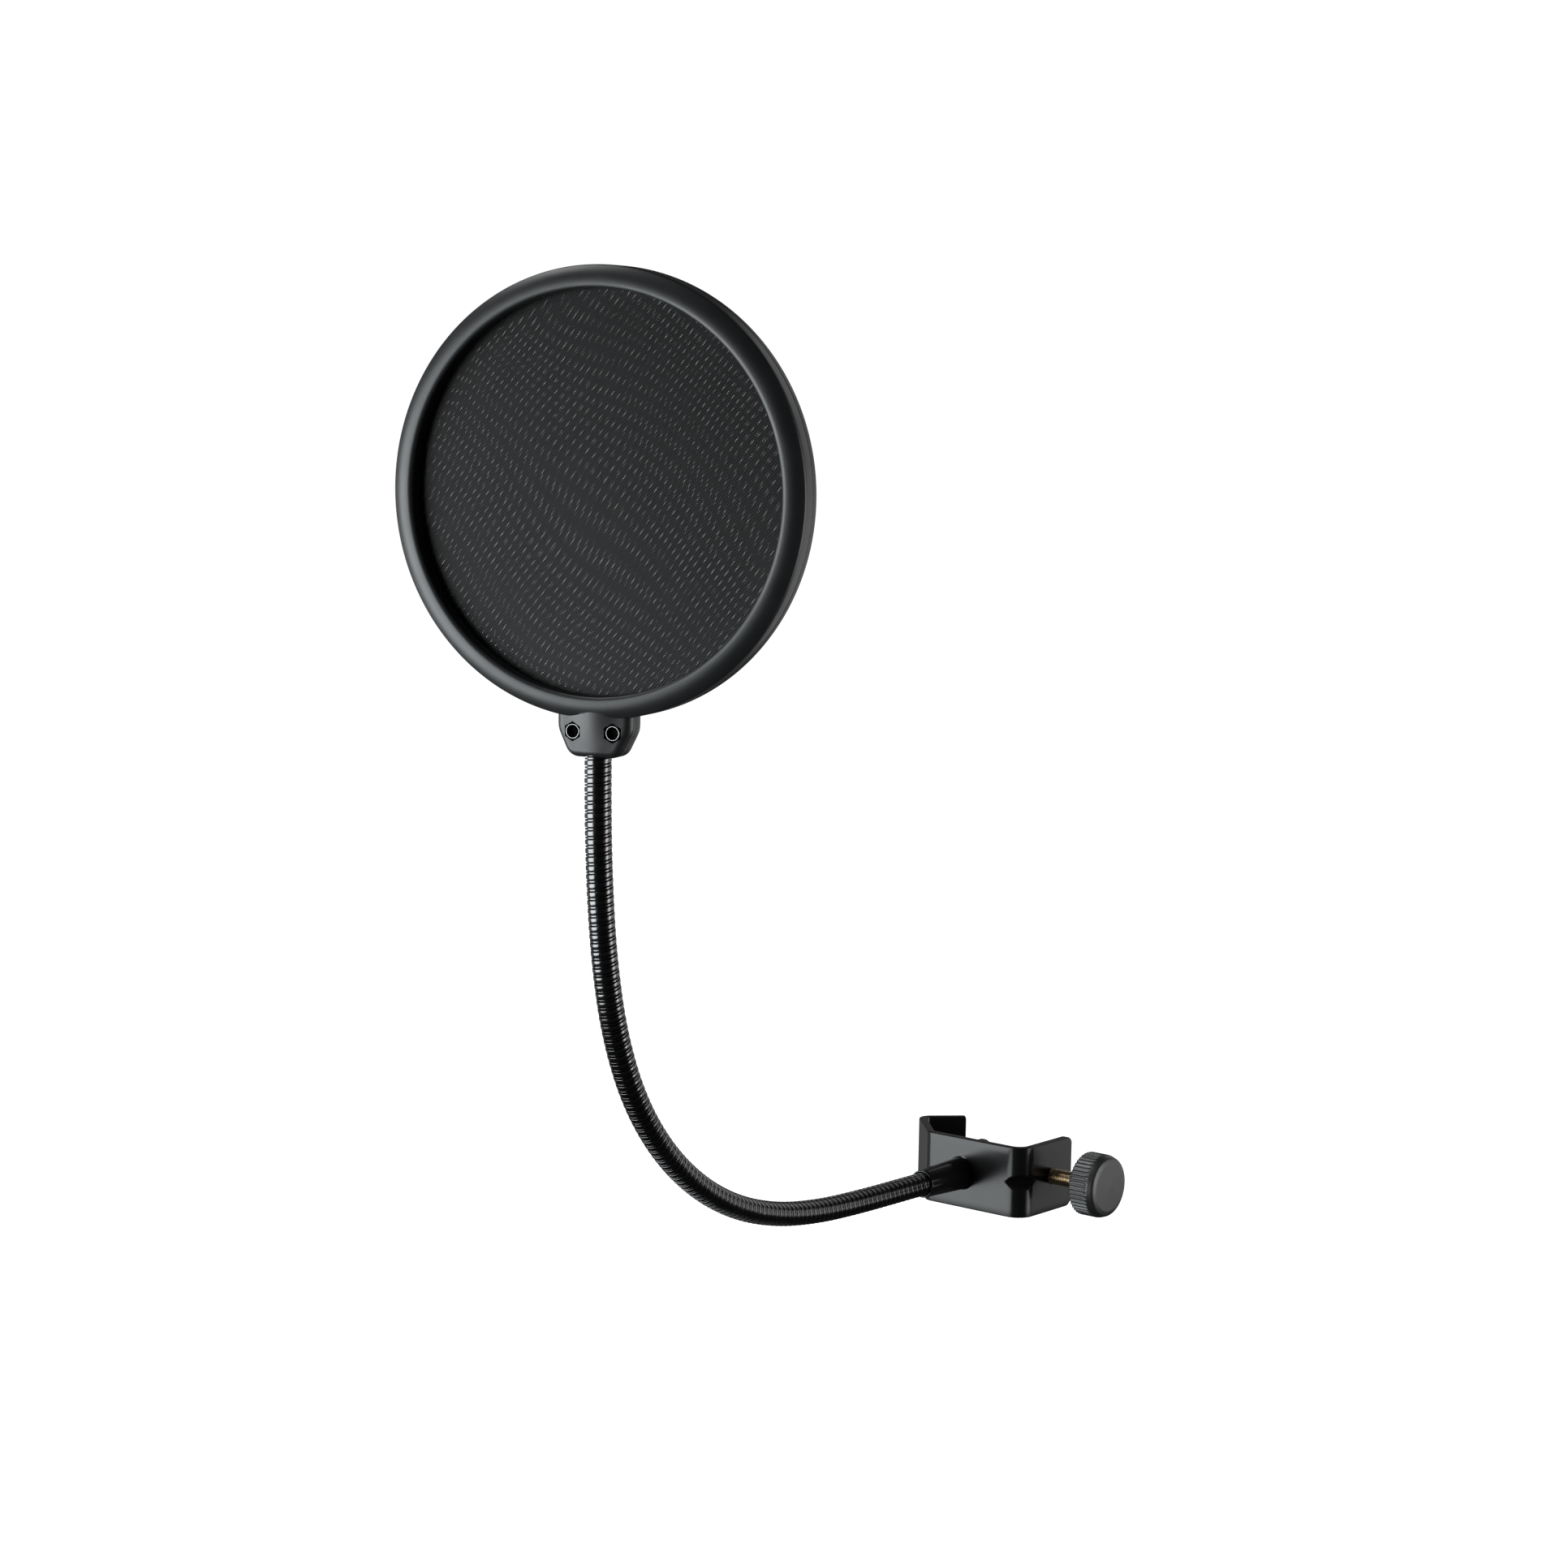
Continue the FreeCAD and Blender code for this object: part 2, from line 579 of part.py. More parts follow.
def meshes():
    """Two fine mesh discs with a spacer ring between them, held at their rims."""
    depth = "S.mesh_depth"
    for label in ("front_mesh", "rear_mesh"):
        front, rim = depth, "S.skirt_radius - 0.1"
        corners = [("0", front), (rim, front), (rim, f"{front} + S.mesh_thickness"),
                   ("0", f"{front} + S.mesh_thickness")]
        disc = ring(f"{label}_disc", label, corners)
        finish_node(label, disc, hoop_placement)
        depth = "S.mesh_depth + S.mesh_thickness + S.spacer_thickness"
    spacer = ring("spacer_ring", "spacer", spacer_corners())
    finish_node("mesh_spacer", spacer, hoop_placement)


def neck_fasteners():
    """Two M3 screws from the back and their hexagon nuts in the front pockets."""
    nut_front = "S.neck_recess + S.nut_recess"
    shanks = pair("Cylinder", "neck_shank", f"{nut_front} + 0.5", Radius="S.neck_screw_radius",
                  Height=f"S.neck_back - S.neck_head_height - ({nut_front})")
    heads = pair("Cylinder", "neck_head", "S.neck_back - S.neck_head_height",
                 Radius="S.neck_head_radius", Height="S.neck_head_height")
    blanks = pair("Prism", "nut_blank", nut_front, Circumradius="S.nut_flats / sqrt(3)",
                  Height="S.nut_height")
    holes = pair("Cylinder", "nut_hole", f"{nut_front} - 1", Radius="S.neck_screw_radius",
                 Height="S.nut_height + 2")
    screws = [fuse(f"neck_screw{k}", *both) for k, both in enumerate(zip(shanks, heads), start=1)]
    nuts = [cut(f"neck_nut{k}", *both) for k, both in enumerate(zip(blanks, holes), start=1)]
    for label, pieces in (("neck_screws", screws), ("neck_nuts", nuts)):
        group = doc.addObject("Part::Compound", f"{label}_group")
        group.Links = pieces
        finish_node(label, group, hoop_placement)


# ---------------------------------------------------------------- assembly

mouth, pivots, headings = arm_route()
neck_bottom = pivots[-1]
hoop_turn = Rotation(UP, size("hoop_heading"))
hoop_placement = Placement(
    neck_bottom - hoop_turn.multVec(
        Vector(0, size("parting_depth"), -size("hoop_radius") - size("neck_drop"))), hoop_turn)

clamp_bracket()
clamp_screw()
clamp_knob()
pressure_foot()
arm_socket()
gooseneck(mouth, pivots, headings)
front_hoop()
rear_hoop()
meshes()
neck_fasteners()

doc.recompute()
for thing in doc.Objects:
    if "Invalid" in thing.State or "Error" in thing.State:
        raise RuntimeError(f"{thing.Name} failed: {thing.State}")
os.makedirs("parts", exist_ok=True)
for thing in nodes:
    if thing.Shape.isNull() or not thing.Shape.isValid():
        raise RuntimeError(f"{thing.Label} has no valid shape")
    thing.Shape.exportStep(f"parts/{thing.Label}.step")
    print(f"{thing.Label}: {len(thing.Shape.Solids)} solids, {thing.Shape.Volume:.1f} mm3")
print("pivots", [[round(c, 2) for c in p] for p in pivots])
print("hoop centre", hoop_placement.Base)
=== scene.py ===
import json
import math

import bmesh
import bpy
import numpy as np
from mathutils import Matrix, Vector


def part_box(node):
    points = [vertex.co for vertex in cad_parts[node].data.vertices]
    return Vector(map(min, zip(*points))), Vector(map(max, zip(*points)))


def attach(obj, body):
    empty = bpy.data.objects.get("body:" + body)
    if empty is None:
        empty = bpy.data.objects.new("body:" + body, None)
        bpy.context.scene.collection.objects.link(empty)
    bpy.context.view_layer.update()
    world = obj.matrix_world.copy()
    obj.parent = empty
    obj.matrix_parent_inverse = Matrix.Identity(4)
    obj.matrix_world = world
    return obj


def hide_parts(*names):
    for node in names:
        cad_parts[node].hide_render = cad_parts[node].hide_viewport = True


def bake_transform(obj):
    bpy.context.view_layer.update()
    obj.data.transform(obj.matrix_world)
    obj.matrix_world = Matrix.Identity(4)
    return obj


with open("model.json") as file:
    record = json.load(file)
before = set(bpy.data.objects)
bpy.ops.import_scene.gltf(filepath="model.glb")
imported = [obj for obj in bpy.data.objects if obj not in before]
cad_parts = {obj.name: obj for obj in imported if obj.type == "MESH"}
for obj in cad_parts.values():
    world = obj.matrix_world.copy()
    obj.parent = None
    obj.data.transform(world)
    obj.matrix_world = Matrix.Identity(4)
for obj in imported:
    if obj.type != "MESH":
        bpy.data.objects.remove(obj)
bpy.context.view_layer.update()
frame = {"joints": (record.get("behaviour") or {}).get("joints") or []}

# Lengths in this file are in millimetres in one of two local frames, the clamp's (the row frame)
# and the hoop's, and become metres in the row frame when a mesh is made.
MM = 0.001
ARC_STEP = 11

# ------------------------------------------------------------------ frames

joints = {joint["name"]: joint for joint in frame["joints"]}
ARM_JOINTS = [f"{zone}_{kind}{level}" for zone in ("low", "mid", "top")
              for level in ("", "_upper") for kind in ("bend", "swing")]
PIVOTS = [np.array(joints[name]["pos_m"]) / MM for name in ARM_JOINTS]


def box_mm(node):
    low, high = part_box(node)
    return np.array(low) / MM, np.array(high) / MM


HOOP_HEADING = math.radians(17.5)
MESH_DEPTH = 5.0
MESH_THICKNESS = 0.3
HOOP_RIGHT = np.array((math.cos(HOOP_HEADING), math.sin(HOOP_HEADING), 0))
HOOP_BACK = np.array((-math.sin(HOOP_HEADING), math.cos(HOOP_HEADING), 0))
mesh_low, mesh_high = box_mm("front_mesh")
HOOP_CENTRE = (mesh_low + mesh_high) / 2 - HOOP_BACK * (MESH_DEPTH + MESH_THICKNESS / 2)
CLAMP = (np.zeros(3), np.eye(3))
HOOP = (HOOP_CENTRE, np.array((HOOP_RIGHT, HOOP_BACK, (0, 0, 1))))

# ------------------------------------------------------------------ mesh helpers


def rounded(corners, closed=False):
    """A polyline through corners (a, b, radius), with every corner of some radius made an arc."""
    count, line = len(corners), []
    for k, (a, b, radius) in enumerate(corners):
        here = np.array((a, b), float)
        if radius == 0 or (not closed and k in (0, count - 1)):
            line.append(here)
            continue
        before = np.array(corners[k - 1][:2], float) - here
        after = np.array(corners[(k + 1) % count][:2], float) - here
        before /= np.linalg.norm(before)
        after /= np.linalg.norm(after)
        half = math.acos(np.clip(before @ after, -1, 1)) / 2
        inward = (before + after) / np.linalg.norm(before + after)
        centre = here + inward * radius / math.sin(half)
        first = here + before * radius / math.tan(half) - centre
        last = here + after * radius / math.tan(half) - centre
        turn = math.pi - 2 * half
        for share in np.linspace(0, 1, max(2, math.ceil(math.degrees(turn) / ARC_STEP)) + 1):
            line.append(centre + (math.sin((1 - share) * turn) * first
                                  + math.sin(share * turn) * last) / math.sin(turn))
    return np.array(line)


def grid_shell(points, wrap_rows=False, wrap_cols=False):
    """Vertices and quads of a rows by columns grid of points."""
    rows, cols = points.shape[:2]
    a, b = np.meshgrid(np.arange(rows if wrap_rows else rows - 1),
                       np.arange(cols if wrap_cols else cols - 1), indexing="ij")
    a2, b2 = (a + 1) % rows, (b + 1) % cols
    quads = np.stack([a * cols + b, a * cols + b2, a2 * cols + b2, a2 * cols + b], -1)
    return points.reshape(-1, 3), quads.reshape(-1, 4).tolist()


def lathe_points(profile, count, axis):
    """Grid of points: a profile of (radius, along) turned about an axis."""
    profile = np.asarray(profile, float)
    angle = np.arange(count) * math.tau / count
    first = profile[:, 0, None] * np.cos(angle)
    second = profile[:, 0, None] * np.sin(angle)
    along = np.repeat(profile[:, 1, None], count, 1)
    order = {"x": (along, first, second), "y": (first, along, second), "z": (first, second, along)}
    return np.stack(order[axis], -1)


def lathe(profile, count, axis, closed=False):
    return grid_shell(lathe_points(profile, count, axis), wrap_rows=closed, wrap_cols=True)


def capped(shell, *rings):
    """The shell with a face across each ring of vertex numbers."""
    points, faces = shell
    return points, faces + [list(ring) for ring in rings]


def tube(points):
    """A closed tube through rows of points, with its first and last row made faces."""
    rows, count = points.shape[:2]
    return capped(grid_shell(points, wrap_cols=True), range(count),
                  range(rows * count - 1, (rows - 1) * count - 1, -1))


def moved(shell, offset):
    return shell[0] + np.array(offset, float), shell[1]


def prism(outline, start, end, axis):
    """A solid from an outline in the plane across an axis, from start to end along it."""
    outline = np.asarray(outline, float)
    rows = []
    for place in (start, end):
        along = np.full(len(outline), float(place))
        parts = {"x": (along, outline[:, 0], outline[:, 1]),
                 "y": (outline[:, 0], along, outline[:, 1]),
                 "z": (outline[:, 0], outline[:, 1], along)}[axis]
        rows.append(np.stack(parts, -1))
    count = len(outline)
    return capped(grid_shell(np.array(rows), wrap_cols=True), range(count),
                  range(2 * count - 1, count - 1, -1))


def circle(radius, centre=(0, 0), count=48, turn=0.0):
    angle = np.arange(count) * math.tau / count + turn
    return np.stack([centre[0] + radius * np.cos(angle), centre[1] + radius * np.sin(angle)], -1)


def mesh_object(name, shells, place, materials=(), orient=True):
    """One object from (points, faces) shells, each followed by its material index if not 0."""
    origin, axes = place
    points, faces, slots = [], [], []
    for number, entry in enumerate(shells):
        shell_points, shell_faces = entry[:2]
        base = sum(len(p) for p in points)
        points.append(np.asarray(shell_points))
        faces += [[base + v for v in face] for face in shell_faces]
        slots += [entry[2] if len(entry) > 2 else 0] * len(shell_faces)
    world = (origin + np.concatenate(points) @ axes) * MM
    mesh = bpy.data.meshes.new(name)
    mesh.from_pydata(world.tolist(), [], faces)
    mesh.polygons.foreach_set("material_index", slots)
    for material in materials:
        mesh.materials.append(material)
    if orient:
        shape = bmesh.new()
        shape.from_mesh(mesh)
        bmesh.ops.remove_doubles(shape, verts=shape.verts, dist=1e-7)
        bmesh.ops.recalc_face_normals(shape, faces=shape.faces)
        shape.to_mesh(mesh)
        shape.free()
    thing = bpy.data.objects.new(name, mesh)
    bpy.context.scene.collection.objects.link(thing)
    return thing


def shade(thing, sharp_above=32):
    thing.data.shade_smooth()
    thing.data.set_sharp_from_angle(angle=math.radians(sharp_above))
    return thing


def baked(thing):
    """The object with its modifiers made part of its mesh."""
    bpy.context.view_layer.update()
    graph = bpy.context.evaluated_depsgraph_get()
    mesh = bpy.data.meshes.new_from_object(thing.evaluated_get(graph))
    thing.modifiers.clear()
    thing.data = mesh
    return thing


def combine(thing, tools, operation):
    """Unites the object with each tool, or takes each tool away from it."""
    for tool in tools:
        step = thing.modifiers.new("combine", "BOOLEAN")
        step.operation = operation
        step.solver = "EXACT"
        step.object = tool
    baked(thing)
    for tool in tools:
        bpy.data.objects.remove(tool)
    return thing


def finish_piece(thing, body, nodes, sharp_above=32):
    shade(thing, sharp_above)
    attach(thing, body)
    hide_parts(*nodes)
    return thing


# ------------------------------------------------------------------ materials


def surface(name, color, roughness, metallic=0.0, grain=0.25, bump=0.012, blotch=9.0,
            tint=0.15, rough_spread=0.06, specular=0.5):
    """Painted, moulded or plated surface: fine grain, slow variation of colour and gloss."""
    material = bpy.data.materials.new(name)
    material.use_nodes = True
    nodes, links = material.node_tree.nodes, material.node_tree.links
    shader = nodes["Principled BSDF"]
    shader.inputs["Metallic"].default_value = metallic
    shader.inputs["Specular IOR Level"].default_value = specular
    place = nodes.new("ShaderNodeTexCoord")

    def noise_at(length, detail):
        texture = nodes.new("ShaderNodeTexNoise")
        texture.inputs["Scale"].default_value = 1 / (length * MM)
        texture.inputs["Detail"].default_value = detail
        links.new(place.outputs["Object"], texture.inputs["Vector"])
        return texture.outputs["Fac"]

    slow, fine = noise_at(blotch, 3), noise_at(grain, 2)
    mix = nodes.new("ShaderNodeMix")
    mix.data_type = "RGBA"
    mix.inputs["A"].default_value = (*[c * (1 - tint) for c in color], 1)
    mix.inputs["B"].default_value = (*[min(1, c * (1 + tint)) for c in color], 1)
    links.new(slow, mix.inputs["Factor"])
    links.new(mix.outputs["Result"], shader.inputs["Base Color"])
    spread = nodes.new("ShaderNodeMapRange")
    spread.inputs["To Min"].default_value = roughness - rough_spread
    spread.inputs["To Max"].default_value = roughness + rough_spread
    links.new(slow, spread.inputs["Value"])
    links.new(spread.outputs["Result"], shader.inputs["Roughness"])
    relief = nodes.new("ShaderNodeBump")
    relief.inputs["Strength"].default_value = 1.0
    relief.inputs["Distance"].default_value = bump * MM
    links.new(fine, relief.inputs["Height"])
    links.new(relief.outputs["Normal"], shader.inputs["Normal"])
    return material


HOOP_PLASTIC = surface("hoop_plastic", (0.012, 0.0128, 0.0142), 0.4, grain=0.28, bump=0.017)
POWDER_COAT = surface("powder_coat", (0.006, 0.006, 0.0065), 0.25, grain=0.55, bump=0.002,
                      rough_spread=0.03, specular=0.27)
SOCKET_COAT = surface("socket_coat", (0.005, 0.005, 0.0055), 0.16, grain=0.55, bump=0.004,
                      rough_spread=0.03, specular=0.35)
WIRE_FINISH = surface("wire_finish", (0.1, 0.1, 0.102), 0.2, metallic=1.0, grain=0.8, bump=0.003,
                      rough_spread=0.04, tint=0.2)
# The bore wall's near-black colour is painted shade for the deep gaps between the coil's turns.
CORE_PAINTED_SHADE = surface("core_painted_shade", (0.004, 0.004, 0.004), 0.6, grain=0.4, bump=0.01, specular=0.15)
ZINC = surface("yellow_zinc", (0.46, 0.37, 0.25), 0.3, metallic=1.0, grain=0.3, bump=0.006,
               blotch=3, tint=0.2)
KNOB_PLASTIC = surface("knob_plastic", (0.012, 0.0125, 0.013), 0.42, grain=0.3, bump=0.02,
                       specular=0.7)
FOOT_PLASTIC = surface("foot_plastic", (0.01, 0.01, 0.0105), 0.55, grain=0.35, bump=0.02,
                       specular=0.3)
SPACER_PLASTIC = surface("spacer_plastic", (0.015, 0.015, 0.015), 0.55, grain=0.3, bump=0.02)
DARK_STEEL = surface("dark_steel", (0.012, 0.012, 0.0125), 0.4, grain=0.25, bump=0.006,
                     specular=0.4)
# Black oxide nut bodies; the same near-black colour on the nut bores and on the screw shanks seen
# down them is painted shade in the holes.
BLACK_OXIDE_AND_HOLE_SHADE = surface("black_oxide_and_hole_shade", (0.0025, 0.0025, 0.0025), 0.7, grain=0.25, bump=0.006,
                      specular=0.02)
BRIGHT_STEEL = surface("bright_steel", (0.26, 0.26, 0.26), 0.4, metallic=1.0, grain=0.2,
                       bump=0.004)
WARP_THREAD = surface("warp_thread", (0.008, 0.008, 0.0085), 0.34, grain=0.22, bump=0.02,
                      blotch=0.9, tint=0.5, rough_spread=0.1, specular=0.3)
# The weft colour is a darker copy of the warp's, painted shade for the threads that lie behind.
WEFT_THREAD_PAINTED_SHADE = surface("weft_thread_painted_shade", (0.006, 0.006, 0.0065), 0.6, grain=0.22, bump=0.02,
                      blotch=0.9, tint=0.5, rough_spread=0.1, specular=0.12)

# ------------------------------------------------------------------ clamp bracket

TUBE_RADIUS, STRIP, CLAMP_HEIGHT = 8.0, 3.0, 27.0
PLATE, LEG, LEG_REACH, JAW_ARM = 20.0, 49.5, 12.5, 11.3
CORNER_BEND, JAW_BEND = 7.0, 5.0
DIMPLE_WIDTH, DIMPLE_HEIGHT = 14.0, 6.0
LEG_CORNER, JAW_CORNER, STRIP_EDGE = 3.0, 0.8, 0.45
SCREW_HOLE = 3.2


def bracket_path():
    """Middle of the strip from above, jaw's free end to leg's, with directions and distances."""
    half = STRIP / 2
    apex = -(TUBE_RADIUS + half) * math.sqrt(2)
    jaw = JAW_ARM + half / math.sqrt(2)
    line = rounded([
        (apex + jaw, jaw, 0),
        (apex, 0, JAW_BEND - half),
        (apex + PLATE - half, -PLATE + half, JAW_BEND - half),
        (LEG - half, -PLATE + half, CORNER_BEND - half),
        (LEG - half, LEG_REACH, 0),
    ])
    dense = [line[0]]
    for a, b in zip(line[:-1], line[1:]):
        length = np.linalg.norm(b - a)
        near_end = np.array([0.04, 0.12, 0.25, 0.45, 0.8, 1.3, 2.0, 3.0, 4.5])
        cuts = np.concatenate([near_end, length - near_end]) if length > 10 else \
            np.linspace(0, length, max(2, math.ceil(length / 0.35)))[1:-1]
        dense += [a + (b - a) * cut / length for cut in sorted(cuts)]
        dense.append(b)
    line = np.array(dense)
    ahead = np.gradient(line, axis=0)
    ahead /= np.linalg.norm(ahead, axis=1)[:, None]
    outward = np.stack([ahead[:, 1], -ahead[:, 0]], -1)
    far = np.concatenate([[0], np.cumsum(np.linalg.norm(np.diff(line, axis=0), axis=1))])
    return line, outward, far


def corner_drop(distance, radius):
    """How far a rounded corner of that radius has drawn in at a distance from the end."""
    short = np.clip(radius - distance, 0, radius)
    return radius - np.sqrt(radius ** 2 - short ** 2)


def dimple_depth(outer, height):
    """How far the pressed stiffener moves the outer face, along the corner's diagonal."""
    diagonal = np.array((1, -1)) / math.sqrt(2)
    middle = np.array((LEG, -PLATE)) - diagonal * CORNER_BEND * (math.sqrt(2) - 1)
    behind = (middle - outer) @ diagonal
    aside = np.abs((outer - middle) @ np.array((1, 1))) / math.sqrt(2)
    reach = DIMPLE_HEIGHT / 2 - (np.sqrt(height ** 2 + 0.06) - 0.05)
    depth = np.clip(reach[None, :] - behind[:, None], 0, None)
    return depth * (aside < DIMPLE_WIDTH / 2)[:, None], -diagonal


def clamp_bracket():
    line, outward, far = bracket_path()
    heights = np.concatenate([[-1, -0.8, -0.6, -0.4], np.linspace(-0.26, 0.26, 29),
                              [0.4, 0.6, 0.8, 1]])
    half, tall = STRIP / 2, CLAMP_HEIGHT / 2
    arc = np.radians(np.linspace(0, 90, 6))[1:-1]
    flat = tall - STRIP_EDGE
    depth, inward = dimple_depth(line + outward * half, heights * flat)
    end_gap = far[-1] - far
    leg_drop = corner_drop(end_gap, LEG_CORNER)
    jaw_drop = corner_drop(far, JAW_CORNER)
    edge = corner_drop(np.minimum(end_gap, far), STRIP_EDGE)
    rows = []
    for k in range(len(line)):
        up = flat - leg_drop[k] - jaw_drop[k] - edge[k]
        thick = half - edge[k]
        round_out = thick - STRIP_EDGE
        outer = [(thick, h * up, depth[k, j]) for j, h in enumerate(heights)]
        top = [(round_out + STRIP_EDGE * math.cos(a), up + STRIP_EDGE * math.sin(a), 0)
               for a in arc]
        top_in = [(-round_out - STRIP_EDGE * math.sin(a), up + STRIP_EDGE * math.cos(a), 0)
                  for a in arc]
        inner = [(-thick, h * up, depth[k, j]) for j, h in enumerate(heights)][::-1]
        low_in = [(-round_out - STRIP_EDGE * math.cos(a), -up - STRIP_EDGE * math.sin(a), 0)
                  for a in arc]
        low = [(round_out + STRIP_EDGE * math.sin(a), -up - STRIP_EDGE * math.cos(a), 0)
               for a in arc]
        section = (outer + top
                   + [(round_out, up + STRIP_EDGE, 0), (-round_out, up + STRIP_EDGE, 0)]
                   + top_in + inner + low_in
                   + [(-round_out, -up - STRIP_EDGE, 0), (round_out, -up - STRIP_EDGE, 0)] + low)
        across = np.array([(*(line[k] + outward[k] * a + inward * press), z)
                           for a, z, press in section])
        rows.append(across)
    strip = mesh_object("bracket_strip", [tube(np.array(rows))], CLAMP, [POWDER_COAT])
    hole = mesh_object("screw_hole", [prism(circle(SCREW_HOLE), LEG - 5, LEG + 2, "x")], CLAMP)
    combine(strip, [hole], "DIFFERENCE")
    return finish_piece(strip, "clamp", ["clamp_bracket"], 28)


def arm_socket():
    low, high = box_mm("arm_socket")
    plate, mouth, x = high[1], low[1], (low[0] + high[0]) / 2
    profile = rounded([
        (0, plate + 0.4, 0), (6.5, plate + 0.4, 0), (6.5, plate - 0.02, 0),
        (6.15, plate - 0.35, 0.4), (5.2, mouth, 0.35), (4.62, mouth, 0.2), (4.62, mouth + 16, 0),
        (0, mouth + 16, 0),
    ])
    dense = []
    for a, b in zip(profile[:-1], profile[1:]):
        dense += list(np.linspace(a, b, max(2, math.ceil(abs(b[1] - a[1]) / 2)))[:-1])
    shell = lathe(dense + [profile[-1]], 72, "y")
    socket = mesh_object("socket_tube", [moved(shell, (x, 0, 0))], CLAMP, [SOCKET_COAT])
    return finish_piece(socket, "clamp", ["arm_socket"], 40)


# ------------------------------------------------------------------ screw, knob and foot


def threaded_rod(radius, pitch, depth, start, end, chamfer, axis, count=40):
    """A rod with a real helical thread, its two ends chamfered and closed."""
    steps = 10
    places = np.arange(start, end + pitch / steps / 2, pitch / steps)
    angle = np.arange(count) * math.tau / count
    phase = (places[:, None] / pitch - angle[None] / math.tau) % 1
    ridge = np.clip(1.25 - np.abs(phase - 0.5) * 3.2, 0, 1)
    reach = radius - depth * (1 - ridge)
    inset = np.minimum(places - places[0], places[-1] - places)
    reach = np.minimum(reach, radius - chamfer + inset[:, None])
    first, second = reach * np.cos(angle), reach * np.sin(angle)
    along = np.repeat(places[:, None], count, 1)
    order = {"x": (along, first, second), "y": (first, along, second)}[axis]
    return tube(np.stack(order, -1))


def clamp_screw():
    low, high = box_mm("clamp_screw")
    rod = threaded_rod(2.98, 1.0, 0.56, low[0] + 0.02, high[0] - 0.1, 0.7, "x")
    screw = mesh_object("screw_rod", [rod], CLAMP, [ZINC])
    return finish_piece(screw, "screw", ["clamp_screw"], 50)


def clamp_knob():
    low, high = box_mm("clamp_knob")
    back, crown, radius = low[0], high[0], (high[1] - low[1]) / 2
    face = crown - 0.9
    profile = rounded([
        (3.05, back + 7, 0), (3.05, back, 0.2), (5.4, back, 0.3), (5.6, back + 1.2, 0.5),
        (9.6, back + 1.2, 0.5), (9.8, back, 0.3), (radius, back, 0.7),
        (radius, back + 7.9, 1.6), (radius - 0.9, face + 0.05, 1.3), (9.2, crown - 0.3, 1.6),
        (0.0, crown, 0),
    ])
    dense = [profile[0]]
    for a, b in zip(profile[:-1], profile[1:]):
        parts = max(1, math.ceil(np.linalg.norm(b - a) / 0.7))
        dense += [a + (b - a) * k / parts for k in range(1, parts + 1)]
    profile = np.array(dense)
    ribs, per_rib = 44, 12
    points = lathe_points(profile, ribs * per_rib, "x")
    angle = np.arange(ribs * per_rib) / per_rib * math.tau
    groove = 0.55 * (1 - (0.5 + 0.5 * np.cos(angle)) ** 1.4)
    on_barrel = np.clip((profile[:, 0] - radius + 0.8) / 0.6, 0, 1)
    run_out = np.clip((back + 8.1 - profile[:, 1]) / 0.9, 0, 1)
    share = (on_barrel * run_out)[:, None] * groove[None]
    scale = 1 - share / np.maximum(profile[:, 0, None], 1)
    points[..., 1] *= scale
    points[..., 2] *= scale
    knob = mesh_object("knob_body", [grid_shell(points, wrap_cols=True)], CLAMP, [KNOB_PLASTIC])
    return finish_piece(knob, "screw", ["clamp_knob"], 45)


def pressure_foot():
    low, high = box_mm("pressure_foot")
    face, back, flange = low[0], high[0], (high[1] - low[1]) / 2
    nose = flange - 0.9
    profile = rounded([
        (0, face, 0), (nose - 3, face, 0.0), (nose - 2.7, face + 0.35, 0.2),
        (nose - 2.2, face + 0.35, 0.2), (nose - 1.9, face, 0.15), (nose, face, 0.7),
        (nose, face + 6.4, 0.15), (flange, face + 6.4, 0.5), (flange, face + 7.8, 0.5),
        (6.5, face + 7.8, 0.2), (6.5, back, 0.4), (3.25, back, 0.25), (3.25, back - 6.4, 0),
        (0, back - 6.4, 0),
    ])
    foot = mesh_object("foot_pad", [lathe(profile, 96, "x")], CLAMP, [FOOT_PLASTIC])
    return finish_piece(foot, "foot", ["pressure_foot"])


def retaining_ring():
    low, high = box_mm("retaining_ring")
    start, end = low[0], high[0]
    section = rounded([(2.75, start, 0.12), (5, start, 0.2), (5, end, 0.2), (2.75, end, 0.12)],
                      closed=True)
    gap = math.radians(34)
    angle = np.linspace(gap / 2, math.tau - gap / 2, 60)
    lobes = 1 - 0.16 * np.exp(-((np.degrees(angle) - 120) / 14) ** 2) \
        - 0.16 * np.exp(-((np.degrees(angle) - 240) / 14) ** 2)
    reach = section[None, :, 0] * np.where(section[None, :, 0] > 4, lobes[:, None], 1)
    points = np.stack([np.repeat(section[None, :, 1], len(angle), 0),
                       reach * np.sin(angle)[:, None], -reach * np.cos(angle)[:, None]], -1)
    ring = mesh_object("e_clip", [tube(points)], CLAMP, [DARK_STEEL])
    return finish_piece(ring, "screw", ["retaining_ring"])


# ------------------------------------------------------------------ gooseneck

COIL_PITCH = 2.83
SOCKET_INSERT, NECK_INSERT = 12.0, 9.5
CORE_RADIUS = 3.52
WIDE_WIRE = rounded([(-0.76, 3.5, 0.1), (-0.76, 4.32, 0.16), (0, 4.47, 3.3), (0.76, 4.32, 0.16),
                     (0.76, 3.5, 0.1)], closed=True)
THIN_WIRE = rounded([(-0.3, 3.5, 0.05), (-0.3, 4.27, 0.12), (0, 4.31, 1.6), (0.3, 4.27, 0.12),
                     (0.3, 3.5, 0.05)], closed=True)


